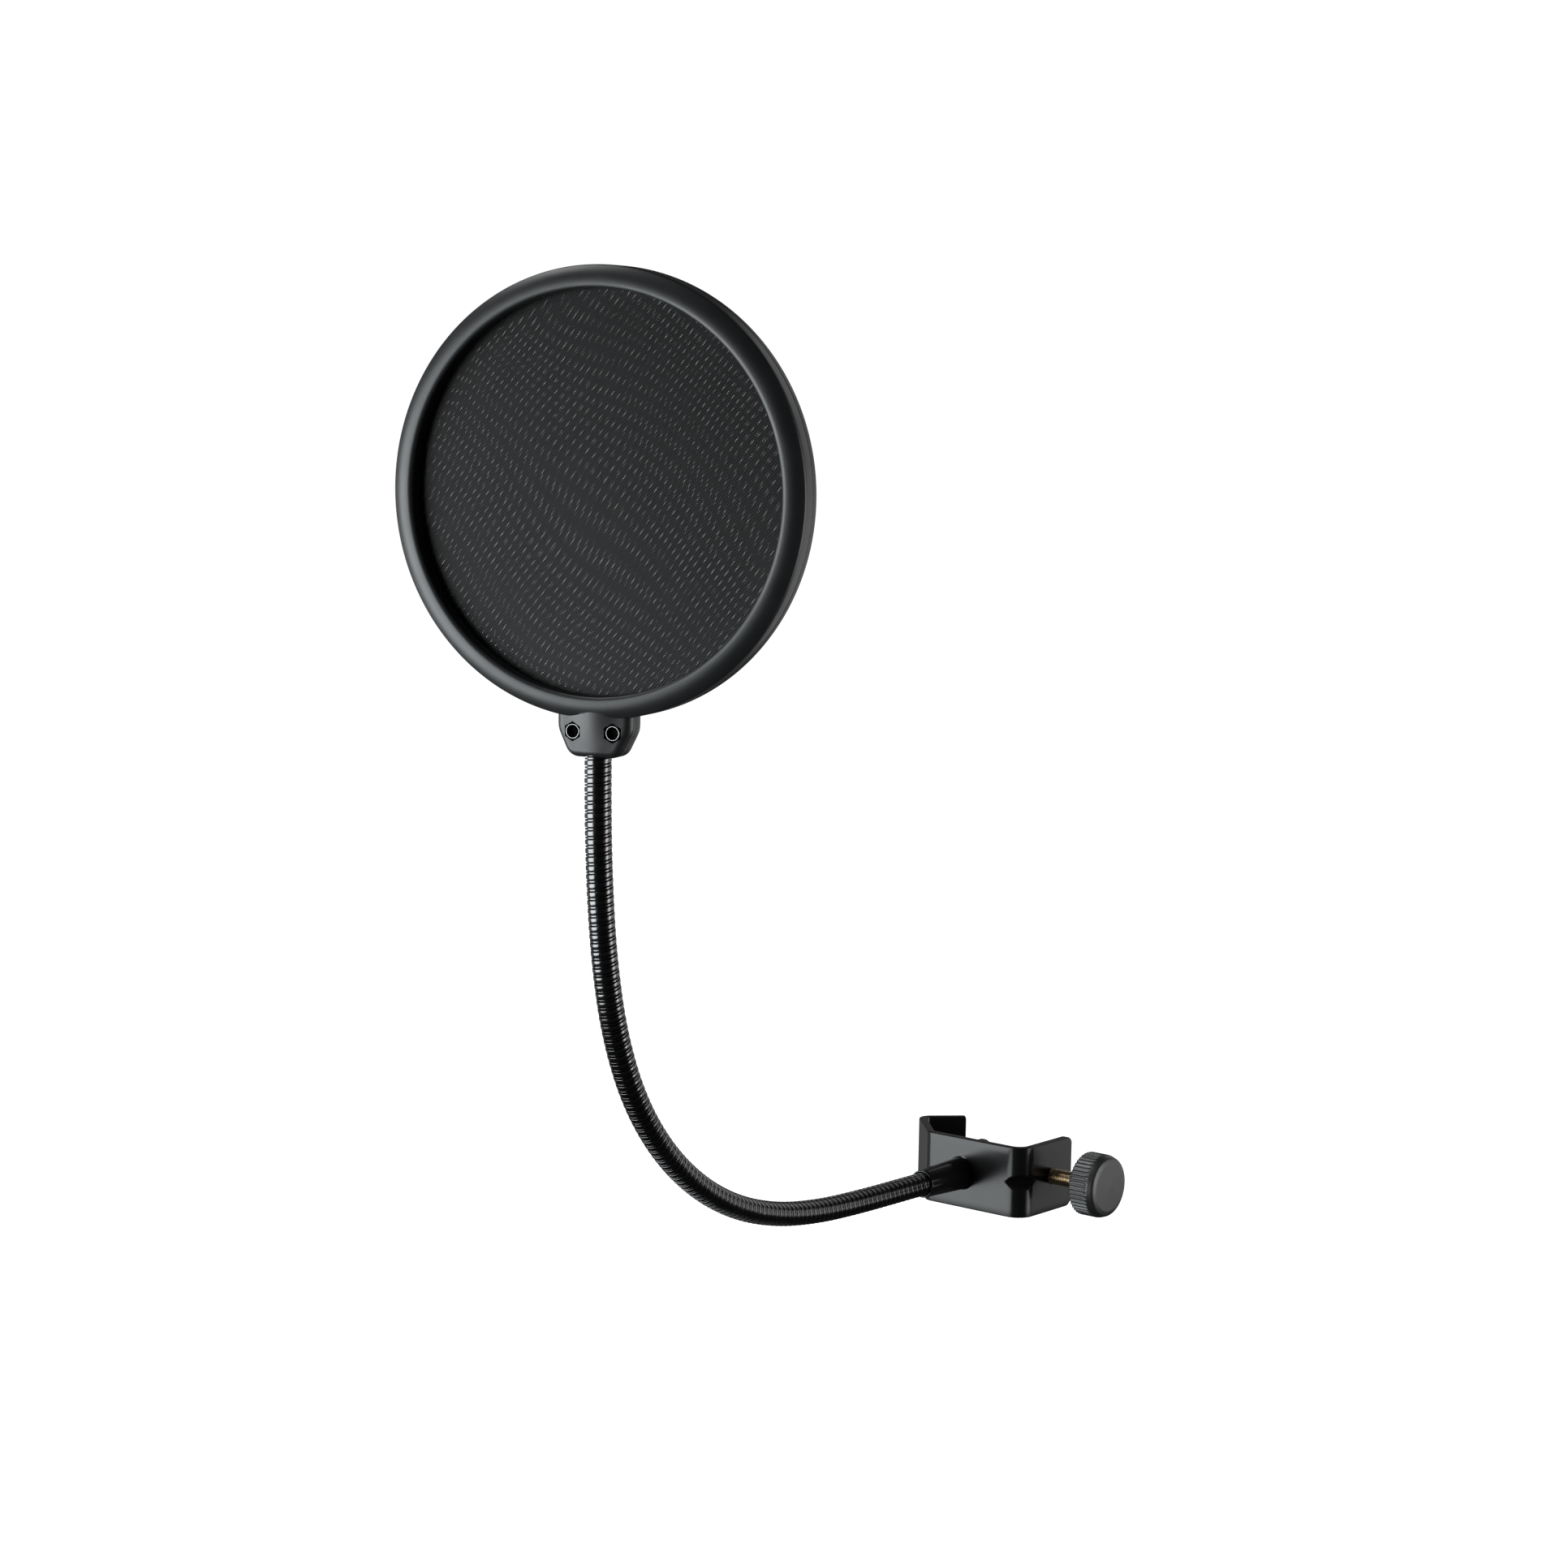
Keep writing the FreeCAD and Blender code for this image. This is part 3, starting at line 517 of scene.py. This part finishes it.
def arm_route():
    """Ends of the arm's pieces, and its middle line as closely spaced points with a frame each."""
    low, high = box_mm("arm_socket")
    mouth = np.array(((low[0] + high[0]) / 2, low[1], 0))
    joins = [mouth] + [(a + b) / 2 for a, b in zip(PIVOTS[:-1], PIVOTS[1:])]
    half_link = np.linalg.norm(PIVOTS[0] - mouth)
    joins.append(PIVOTS[-1] + np.array((0, 0, half_link)))
    line, marks = [mouth + np.array((0, SOCKET_INSERT * (1 - k / 12), 0)) for k in range(12)], []
    for start, pivot, end in zip(joins[:-1], PIVOTS, joins[1:]):
        marks.append(len(line))
        for t in np.arange(40) / 40:
            line.append((1 - t) ** 2 * start + 2 * t * (1 - t) * pivot + t ** 2 * end)
    marks.append(len(line))
    line += [joins[-1] + np.array((0, 0, NECK_INSERT * k / 10)) for k in range(11)]
    line = np.array(line)
    far = np.concatenate([[0], np.cumsum(np.linalg.norm(np.diff(line, axis=0), axis=1))])
    ahead = np.gradient(line, far, axis=0)
    ahead /= np.linalg.norm(ahead, axis=1)[:, None]
    side = np.zeros_like(line)
    side[0] = (1, 0, 0)
    for k in range(1, len(line)):
        side[k] = side[k - 1] - ahead[k] * (side[k - 1] @ ahead[k])
        side[k] /= np.linalg.norm(side[k])
    return joins, far[marks], (far, line, ahead, side)


def along_route(route, places):
    """Points, directions and two cross directions of the arm at distances along it."""
    far, line, ahead, side = route
    pick = [np.stack([np.interp(places, far, part[:, k]) for k in range(3)], -1)
            for part in (line, ahead, side)]
    middle, ahead, side = pick
    ahead /= np.linalg.norm(ahead, axis=1)[:, None]
    side /= np.linalg.norm(side, axis=1)[:, None]
    return middle, ahead, side, np.cross(ahead, side)


def wire(route, section, start, end, offset):
    """One wound wire of the gooseneck between two distances along it."""
    count = max(2, math.ceil((end - start) / COIL_PITCH * 30))
    places = np.linspace(start, end, count + 1)
    middle, ahead, side, over = along_route(route, places)
    phase = (places + offset) / COIL_PITCH * math.tau
    outward = np.cos(phase)[:, None] * side + np.sin(phase)[:, None] * over
    points = middle[:, None] + section[None, :, 0, None] * ahead[:, None] \
        + section[None, :, 1, None] * outward[:, None]
    return tube(points)


def core(route, start, end):
    """The closed bore wall behind the wires, coloured near black as painted shade at the bottom of
    the gaps between turns.
    """
    places = np.linspace(start, end, 21)
    middle, ahead, side, over = along_route(route, places)
    angle = np.arange(24) * math.tau / 24
    ring = (np.cos(angle)[None, :, None] * side[:, None]
            + np.sin(angle)[None, :, None] * over[:, None])
    points = middle[:, None] + ring * CORE_RADIUS
    return tube(points)


def gooseneck():
    joins, marks, route = arm_route()
    total = route[0][-1]
    for k, name in enumerate(ARM_JOINTS):
        start = 0.0 if k == 0 else marks[k]
        end = total if k == len(ARM_JOINTS) - 1 else marks[k + 1]
        shells = [wire(route, WIDE_WIRE, start, end, 0.0),
                  wire(route, THIN_WIRE, start, end, COIL_PITCH / 2),
                  (*core(route, start, end), 1)]
        piece = mesh_object(f"gooseneck_coil_{k + 1:02d}", shells, CLAMP, [WIRE_FINISH, CORE_PAINTED_SHADE])
        shade(piece, 50)
        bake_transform(piece)
        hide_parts("gooseneck_base" if k == 0 else f"gooseneck_link_{k:02d}")
        if k == len(ARM_JOINTS) - 1:
            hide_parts("gooseneck_link_12")


# ------------------------------------------------------------------ hoop and neck

OPENING, OUTSIDE, DEPTH, SEAM, SKIRT = 64.2, 71.6, 12.0, 8.0, 69.9
CROWN_RADIUS = 65.8
NECK_TOP, NECK_HIP, NECK_BOTTOM = -68.9, -75.0, -83.9
NECK_WIDE, NECK_NARROW, NECK_ROUND = 13.2, 8.7, 5.0
NECK_FRONT, NECK_REAR, PARTING = 1.7, 10.9, 6.6
NUT_X, NUT_Z = 7.0, -75.7
HEX_FLATS = 5.5
SPACER = 1.3
HOOP_SIDES = 288
ARM_SEAT, ARM_SEAT_TOP = 4.55, -74.6
HEAD_POCKET, HEAD_HEIGHT = 2.9, 1.9
CUT_PAST = 3


def front_face(radius):
    """Depth of the hoop's crowned front face at a radius."""
    out = np.clip((radius - CROWN_RADIUS) / (OUTSIDE - CROWN_RADIUS), 0, 1)
    into = np.clip((CROWN_RADIUS - radius) / (CROWN_RADIUS - OPENING), 0, 1)
    return 2.3 * out ** 2.1 + 0.7 * into ** 2.2


def front_band():
    radii = np.concatenate([
        OPENING + np.array([0.0, 0.02, 0.06, 0.14, 0.28, 0.5, 0.8]),
        np.linspace(OPENING + 1.2, OUTSIDE - 1.4, 14),
        OUTSIDE - np.array([1.0, 0.7, 0.45, 0.27, 0.14, 0.05, 0.0])])
    drop = front_face(radii)
    drop += 0.5 * np.clip(1 - (radii - OPENING) / 0.3, 0, 1) ** 2
    drop += 0.6 * np.clip(1 - (OUTSIDE - radii) / 0.3, 0, 1) ** 2
    face = list(zip(radii, drop))
    wall = rounded([(OUTSIDE, 3.4, 0), (OUTSIDE, SEAM - 0.05, 0.28), (OUTSIDE - 0.6, SEAM, 0),
                    (SKIRT, SEAM, 0), (SKIRT, MESH_DEPTH, 0), (OPENING, MESH_DEPTH, 0.15),
                    (OPENING, 2.6, 0)])
    return face + [tuple(p) for p in wall]


def rear_band():
    stack = MESH_DEPTH + 2 * MESH_THICKNESS + SPACER
    return rounded([
        (OPENING, stack, 0.15), (SKIRT, stack, 0), (SKIRT, SEAM + 0.05, 0),
        (OUTSIDE, SEAM + 0.05, 0.28), (OUTSIDE, DEPTH - 0.3, 1.3), (OUTSIDE - 1.6, DEPTH, 1.6),
        (OPENING + 1.2, DEPTH, 1.2), (OPENING, DEPTH - 0.4, 0.7)], closed=True)


RIM_ROUND, REAR_RIM_ROUND = 2.4, 1.0
FRONT_CROWN, REAR_CROWN = 1.0, 0.4
RIM_STEPS = np.array([0, 0.02, 0.07, 0.16, 0.3, 0.5, 0.75, 1.05, 1.4, 1.85, 2.4])


def bell(x, z):
    """Swelling of the neck over the arm, 0 at its sides and 1 in the middle."""
    half = np.interp(z, [-83, -70], [7.0, 9.5])
    return np.where(np.abs(x) < half, 0.5 + 0.5 * np.cos(np.pi * np.clip(x / half, -1, 1)), 0)


def neck_half(front):
    """One half of the neck: outline, flat face with its swelling, rounded rim, parting edge."""
    face, sign = (NECK_FRONT, 1) if front else (NECK_REAR, -1)
    swell = (0.95, 0.3) if front else (0.9, 1.5)
    side = rounded([(NECK_WIDE, NECK_TOP, 0), (NECK_WIDE, NECK_HIP, 7.0),
                    (NECK_NARROW, NECK_BOTTOM, NECK_ROUND), (0, NECK_BOTTOM, 0)])
    levels = np.unique(np.round(np.concatenate([
        side[:-1, 1], np.arange(NECK_TOP, NECK_BOTTOM, -0.6),
        NECK_BOTTOM + RIM_STEPS]), 3))[::-1]
    widths = np.interp(-levels, -side[:-1, 1], side[:-1, 0])
    widths[-1] = side[-2, 0]
    inner = np.linspace(-1, 1, 37)[1:-1]
    xs = np.array([np.concatenate([-(w - RIM_STEPS), inner * (w - RIM_STEPS[-1]),
                                   (w - RIM_STEPS)[::-1]]) for w in widths])
    zs = np.repeat(levels[:, None], xs.shape[1], 1)
    outline = np.concatenate([side, (side * (-1, 1))[::-1]])
    gap = np.full(xs.shape, 99.0)
    for a, b in zip(outline[:-1], outline[1:]):
        run = b - a
        if run @ run < 1e-12:
            continue
        share = np.clip(((xs - a[0]) * run[0] + (zs - a[1]) * run[1]) / (run @ run), 0, 1)
        gap = np.minimum(gap, np.hypot(xs - a[0] - share * run[0], zs - a[1] - share * run[1]))
    rise = np.interp(-zs, [69.5, 79], swell) * bell(xs, zs)
    crown = FRONT_CROWN if front else REAR_CROWN
    ys = face + sign * (crown * (xs / NECK_WIDE) ** 2 - rise
                        + corner_drop(gap, RIM_ROUND if front else REAR_RIM_ROUND))
    shape = bmesh.new()
    points, quads = grid_shell(np.stack([xs, ys, zs], -1))
    corners = [shape.verts.new(p) for p in points]
    for quad in quads:
        shape.faces.new([corners[v] for v in quad])
    bmesh.ops.remove_doubles(shape, verts=shape.verts, dist=1e-4)
    centre = Vector((0, 0, -76))
    for depth, pull in ((PARTING - 0.16 * sign, 0.0), (PARTING, 0.16)):
        open_edges = [edge for edge in shape.edges if edge.is_boundary]
        made = bmesh.ops.extrude_edge_only(shape, edges=open_edges)["geom"]
        for vert in (item for item in made if isinstance(item, bmesh.types.BMVert)):
            towards = centre - Vector((vert.co.x, 0, vert.co.z))
            vert.co += towards.normalized() * pull
            vert.co.y = depth
    bmesh.ops.holes_fill(shape, edges=[e for e in shape.edges if e.is_boundary], sides=0)
    bmesh.ops.recalc_face_normals(shape, faces=shape.faces)
    shape.verts.index_update()
    points = np.array([vert.co for vert in shape.verts])
    faces = [[vert.index for vert in item.verts] for item in shape.faces]
    shape.free()
    return points, faces


def neck_tool(outline, start, end, axis):
    return mesh_object("tool", [prism(outline, start, end, axis)], HOOP)


def arm_seat_tool():
    return neck_tool(circle(ARM_SEAT, (0, PARTING), 48), NECK_BOTTOM - CUT_PAST, ARM_SEAT_TOP, "z")


def front_hoop():
    hoop = mesh_object("hoop_front", [lathe(front_band(), HOOP_SIDES, "y", closed=True)], HOOP,
                       [HOOP_PLASTIC])
    neck = mesh_object("neck_front", [neck_half(True)], HOOP, [HOOP_PLASTIC])
    combine(hoop, [neck], "UNION")
    corner = HEX_FLATS / math.sqrt(3) + 0.1
    tools = [neck_tool(circle(corner, (x, NUT_Z), 6, math.pi / 2), -4, NECK_FRONT + 2.35, "y")
             for x in (-NUT_X, NUT_X)]
    tools.append(arm_seat_tool())
    combine(hoop, tools, "DIFFERENCE")
    return finish_piece(hoop, "filter", ["front_hoop"], 30)


def rear_hoop():
    hoop = mesh_object("hoop_rear", [lathe(rear_band(), HOOP_SIDES, "y", closed=True)], HOOP,
                       [HOOP_PLASTIC])
    neck = mesh_object("neck_rear", [neck_half(False)], HOOP, [HOOP_PLASTIC])
    seat = neck_tool(circle(OUTSIDE + 0.02, (0, 0), HOOP_SIDES), 2, SEAM + 0.06, "y")
    inside = neck_tool(circle(SKIRT, (0, 0), HOOP_SIDES), 2, 9.6, "y")
    combine(neck, [seat, inside], "DIFFERENCE")
    combine(hoop, [neck], "UNION")
    tools = [neck_tool(circle(HEAD_POCKET, (x, NUT_Z), 40), NECK_REAR - HEAD_HEIGHT, 14, "y")
             for x in (-NUT_X, NUT_X)]
    tools.append(arm_seat_tool())
    combine(hoop, tools, "DIFFERENCE")
    return finish_piece(hoop, "filter", ["rear_hoop"], 30)


def neck_nuts():
    """Two black oxide hexagon nuts, each with a thin turned collar round its hole, in the front
    pockets; their bores are near black as painted shade in the holes.
    """
    front = NECK_FRONT + 0.3
    count = 72
    angle = np.arange(count) * math.tau / count + math.pi / 2
    hexagon = HEX_FLATS / 2 / np.cos(((angle - math.pi / 2) % (math.pi / 3)) - math.pi / 6)
    bore = [(np.full(count, radius), np.full(count, depth))
            for radius, depth in ((1.5, 2.0), (1.5, 1.5), (2.0, 1.1), (2.06, 0.3))]
    body = [(np.full(count, 2.38), np.full(count, 0.4)),
            (np.full(count, 2.44), np.full(count, 0.4)),
            (hexagon, 0.4 + (hexagon - 2.44) * 0.58), (hexagon, np.full(count, 2.0)),
            (np.full(count, 1.5), np.full(count, 2.0))]
    collar = rounded([(2.06, 0.5, 0), (2.06, -0.02, 0.1), (2.4, -0.02, 0.14), (2.4, 0.5, 0)])
    shells = []
    for x in (-NUT_X, NUT_X):
        for entries in (bore, body):
            grid = np.stack([np.stack([x + r * np.cos(angle), front + d,
                                       NUT_Z + r * np.sin(angle)], -1) for r, d in entries])
            shells.append(grid_shell(grid, wrap_cols=True))
        ring = lathe([(r, front + d) for r, d in collar], count, "y")
        shells.append((*moved(ring, (x, 0, NUT_Z)), 1))
    nuts = mesh_object("neck_nut_pair", shells, HOOP, [BLACK_OXIDE_AND_HOLE_SHADE, BRIGHT_STEEL])
    return finish_piece(nuts, "filter", ["neck_nuts"], 25)


def neck_screws():
    """Two M3 screws from the back, with a domed head and a cross recess."""
    tip, seat = NECK_FRONT + 1.9, NECK_REAR - HEAD_HEIGHT
    head = rounded([(0, seat, 0), (2.75, seat, 0.1), (2.75, NECK_REAR - 0.35, 0.4),
                    (1.6, NECK_REAR - 0.02, 2.0), (0, NECK_REAR, 0)])
    dimple = rounded([(0, tip + 0.25, 0), (0.42, tip, 0.1), (0.62, tip - 0.02, 0.1),
                      (0.8, tip + 0.2, 0), (0, tip + 0.3, 0)])
    for number, x in enumerate((-NUT_X, NUT_X), start=1):
        # The shank, seen only down the nut's hole, is near black as painted shade.
        rod = threaded_rod(1.47, 0.5, 0.28, tip, seat + 0.3, 0.35, "y", 32)
        screw = mesh_object(f"neck_screw_{number}", [
            (*moved(rod, (x, 0, NUT_Z)), 2), moved(lathe(head, 48, "y"), (x, 0, NUT_Z)),
            (*moved(lathe(dimple, 24, "y"), (x, 0, NUT_Z)), 1)], HOOP,
            [DARK_STEEL, BRIGHT_STEEL, BLACK_OXIDE_AND_HOLE_SHADE])
        bars = []
        for long, short in ((1.5, 0.27), (0.27, 1.5)):
            outline = [(x + a * long, NUT_Z + b * short)
                       for a, b in ((-1, -1), (1, -1), (1, 1), (-1, 1))]
            bars.append(neck_tool(outline, NECK_REAR - 0.9, NECK_REAR + 2, "y"))
        combine(screw, bars, "DIFFERENCE")
        finish_piece(screw, "filter", ["neck_screws"], 40)


# ------------------------------------------------------------------ gauze

GAUZE_RADIUS = 69.6
WARP_PITCH, WARP_WIDTH = 0.69, 0.43
WEFT_PITCH, WEFT_WIDTH = 0.6, 0.48


def gauze_threads(angle, pitch, width, depth, crown, bow, seed):
    """Parallel threads of one direction across the disc, each a crowned ribbon."""
    direction = np.array((math.cos(angle), math.sin(angle)))
    across = np.array((-direction[1], direction[0]))
    section = np.array([(-0.5, crown), (0, 0), (0.5, crown)])
    rows = int(GAUZE_RADIUS / pitch)
    points, faces, base = [], [], 0
    for number in range(-rows, rows + 1):
        offset = number * pitch
        reach = math.sqrt(max(GAUZE_RADIUS ** 2 - offset ** 2, 4))
        steps = max(4, round(reach / 2))
        run = np.linspace(-reach, reach, steps + 1)
        flat = run[:, None] * direction + offset * across
        wave = bow * (np.sin(flat[:, 0] / 13 + seed) + np.sin(flat[:, 1] / 17 + 2.1 * seed)
                      + 0.6 * np.sin((flat[:, 0] + flat[:, 1]) / 9.5 + 3.3 * seed))
        edge = np.clip((GAUZE_RADIUS - np.hypot(flat[:, 0], flat[:, 1])) / 12, 0, 1)
        flat = flat + (wave * edge)[:, None] * across
        line = np.stack([flat[:, 0], np.full(len(run), depth), flat[:, 1]], -1)
        aside = np.array((across[0], 0, across[1]))
        grid = line[:, None] + section[None, :, 0, None] * width * aside \
            + section[None, :, 1, None] * np.array((0, 1, 0))
        thread, quads = grid_shell(grid)
        points.append(thread)
        faces += [[base + v for v in quad] for quad in quads]
        base += len(thread)
    return np.concatenate(points), faces


def gauze(name, node, warp_angle, weft_angle, bow, seed):
    low, high = box_mm(node)
    depth = ((low + high) / 2 - HOOP_CENTRE) @ HOOP_BACK
    shells = [
        gauze_threads(warp_angle, WARP_PITCH, WARP_WIDTH, depth - 0.12, 0.12, bow, seed),
        (*gauze_threads(weft_angle, WEFT_PITCH, WEFT_WIDTH, depth + 0.04, 0.05, bow, seed + 1), 1)]
    cloth = mesh_object(name, shells, HOOP, [WARP_THREAD, WEFT_THREAD_PAINTED_SHADE], orient=False)
    cloth.data.shade_smooth()
    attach(cloth, "filter")
    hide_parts(node)
    return cloth


def mesh_spacer():
    front = MESH_DEPTH + MESH_THICKNESS
    section = rounded([(OPENING + 0.4, front + 0.02, 0.2), (SKIRT - 0.1, front + 0.02, 0.2),
                       (SKIRT - 0.1, front + 1.28, 0.2), (OPENING + 0.4, front + 1.28, 0.2)],
                      closed=True)
    ring = mesh_object("gauze_spacer", [lathe(section, 180, "y", closed=True)], HOOP,
                       [SPACER_PLASTIC])
    return finish_piece(ring, "filter", ["mesh_spacer"])


# ------------------------------------------------------------------ stage, light and camera


def softbox(name, azimuth, elevation, distance, width, height, power, target,
            color=(1, 1, 1)):
    """An area light that faces the target from an azimuth, counted from +X towards +Y."""
    data = bpy.data.lights.new(name, "AREA")
    data.shape = "RECTANGLE"
    data.size, data.size_y = width, height
    data.energy = power
    data.color = color
    light = bpy.data.objects.new(name, data)
    bpy.context.scene.collection.objects.link(light)
    a, e = math.radians(azimuth), math.radians(elevation)
    away = Vector((math.cos(a) * math.cos(e), math.sin(a) * math.cos(e), math.sin(e)))
    light.location = Vector(target) + away * distance
    light.rotation_euler = away.to_track_quat("Z", "Y").to_euler()
    light.visible_camera = False


def world_light(color, strength):
    """A plain white backdrop to the camera, and a dim even fill to everything else."""
    world = bpy.data.worlds.new("studio")
    bpy.context.scene.world = world
    world.use_nodes = True
    nodes, links = world.node_tree.nodes, world.node_tree.links
    nodes.clear()
    path, mix = nodes.new("ShaderNodeLightPath"), nodes.new("ShaderNodeMixShader")
    fill, white = nodes.new("ShaderNodeBackground"), nodes.new("ShaderNodeBackground")
    fill.inputs["Color"].default_value = (*color, 1)
    fill.inputs["Strength"].default_value = strength
    white.inputs["Color"].default_value = (1, 1, 1, 1)
    white.inputs["Strength"].default_value = 1.05
    links.new(path.outputs["Is Camera Ray"], mix.inputs["Fac"])
    links.new(fill.outputs["Background"], mix.inputs[1])
    links.new(white.outputs["Background"], mix.inputs[2])
    out = nodes.new("ShaderNodeOutputWorld")
    links.new(mix.outputs["Shader"], out.inputs["Surface"])


FLOOR_HEIGHT, FLOOR_RADIUS = -420.0, 4000


def stage_floor():
    """A plain pale floor well below the part, which hangs from a stand."""
    material = surface("floor", (0.9, 0.9, 0.9), 0.8, grain=6, bump=0.02, blotch=300, tint=0.02)
    shader = material.node_tree.nodes["Principled BSDF"]
    shader.inputs["Emission Color"].default_value = (1, 1, 1, 1)
    shader.inputs["Emission Strength"].default_value = 1.2
    disc = [(r, FLOOR_HEIGHT) for r in (FLOOR_RADIUS, 0)]
    floor = mesh_object("floor", [lathe(disc, 96, "z")], CLAMP, [material])
    floor.visible_diffuse = False
    floor.visible_glossy = False


def studio_camera():
    data = bpy.data.cameras.new("camera")
    data.lens, data.sensor_width = 77.33, 36.0
    data.clip_start, data.clip_end = 0.05, 20
    camera = bpy.data.objects.new("camera", data)
    bpy.context.scene.collection.objects.link(camera)
    heading, pitch, roll = (math.radians(a) for a in (39.471, 6.993, 1.0144))
    back = Vector((math.sin(heading) * math.cos(pitch), -math.cos(heading) * math.cos(pitch),
                   math.sin(pitch)))
    right = Vector((math.cos(heading), math.sin(heading), 0))
    up = back.cross(right)
    tilted = math.cos(roll) * right + math.sin(roll) * up
    upright = back.cross(tilted)
    camera.matrix_world = Matrix.Translation((0.76633, -1.03557, 0.30252)) @ Matrix(
        (tilted, upright, back)).transposed().to_4x4()
    bpy.context.scene.camera = camera


# ------------------------------------------------------------------ the part

clamp_bracket()
arm_socket()
clamp_screw()
clamp_knob()
pressure_foot()
retaining_ring()
gooseneck()
front_hoop()
rear_hoop()
neck_nuts()
neck_screws()
mesh_spacer()
gauze("front_gauze", "front_mesh", math.radians(48), math.radians(-38), 0.46, 0.4)
gauze("rear_gauze", "rear_mesh", math.radians(57), math.radians(-22), 0.22, 1.9)

MIDDLE = (0.02, -0.14, 0.13)
softbox("left_box", -119, -6, 1.35, 1.17, 1.0, 28, MIDDLE, (0.95, 1.0, 1.02))
softbox("right_box", 41, -6, 1.4, 2.0, 0.8, 5.2, MIDDLE)
softbox("right_strip", 25, 0, 1.3, 0.46, 1.1, 7.5, MIDDLE)
softbox("rim_box", 97, 5, 1.4, 0.7, 1.5, 2.5, MIDDLE)
softbox("back_box", 140, 0, 1.4, 1.2, 1.2, 0.5, MIDDLE)
softbox("left_fill", -152, 0, 1.4, 1.2, 1.0, 1.2, MIDDLE)
softbox("rear_low", 172, -15, 1.4, 1.2, 1.0, 1.2, MIDDLE)
softbox("top_box", -145, 58, 1.5, 0.6, 0.5, 7.5, MIDDLE)
world_light((1, 1, 1), 0.03)
stage_floor()
studio_camera()
bpy.context.scene.view_settings.view_transform = "Standard"
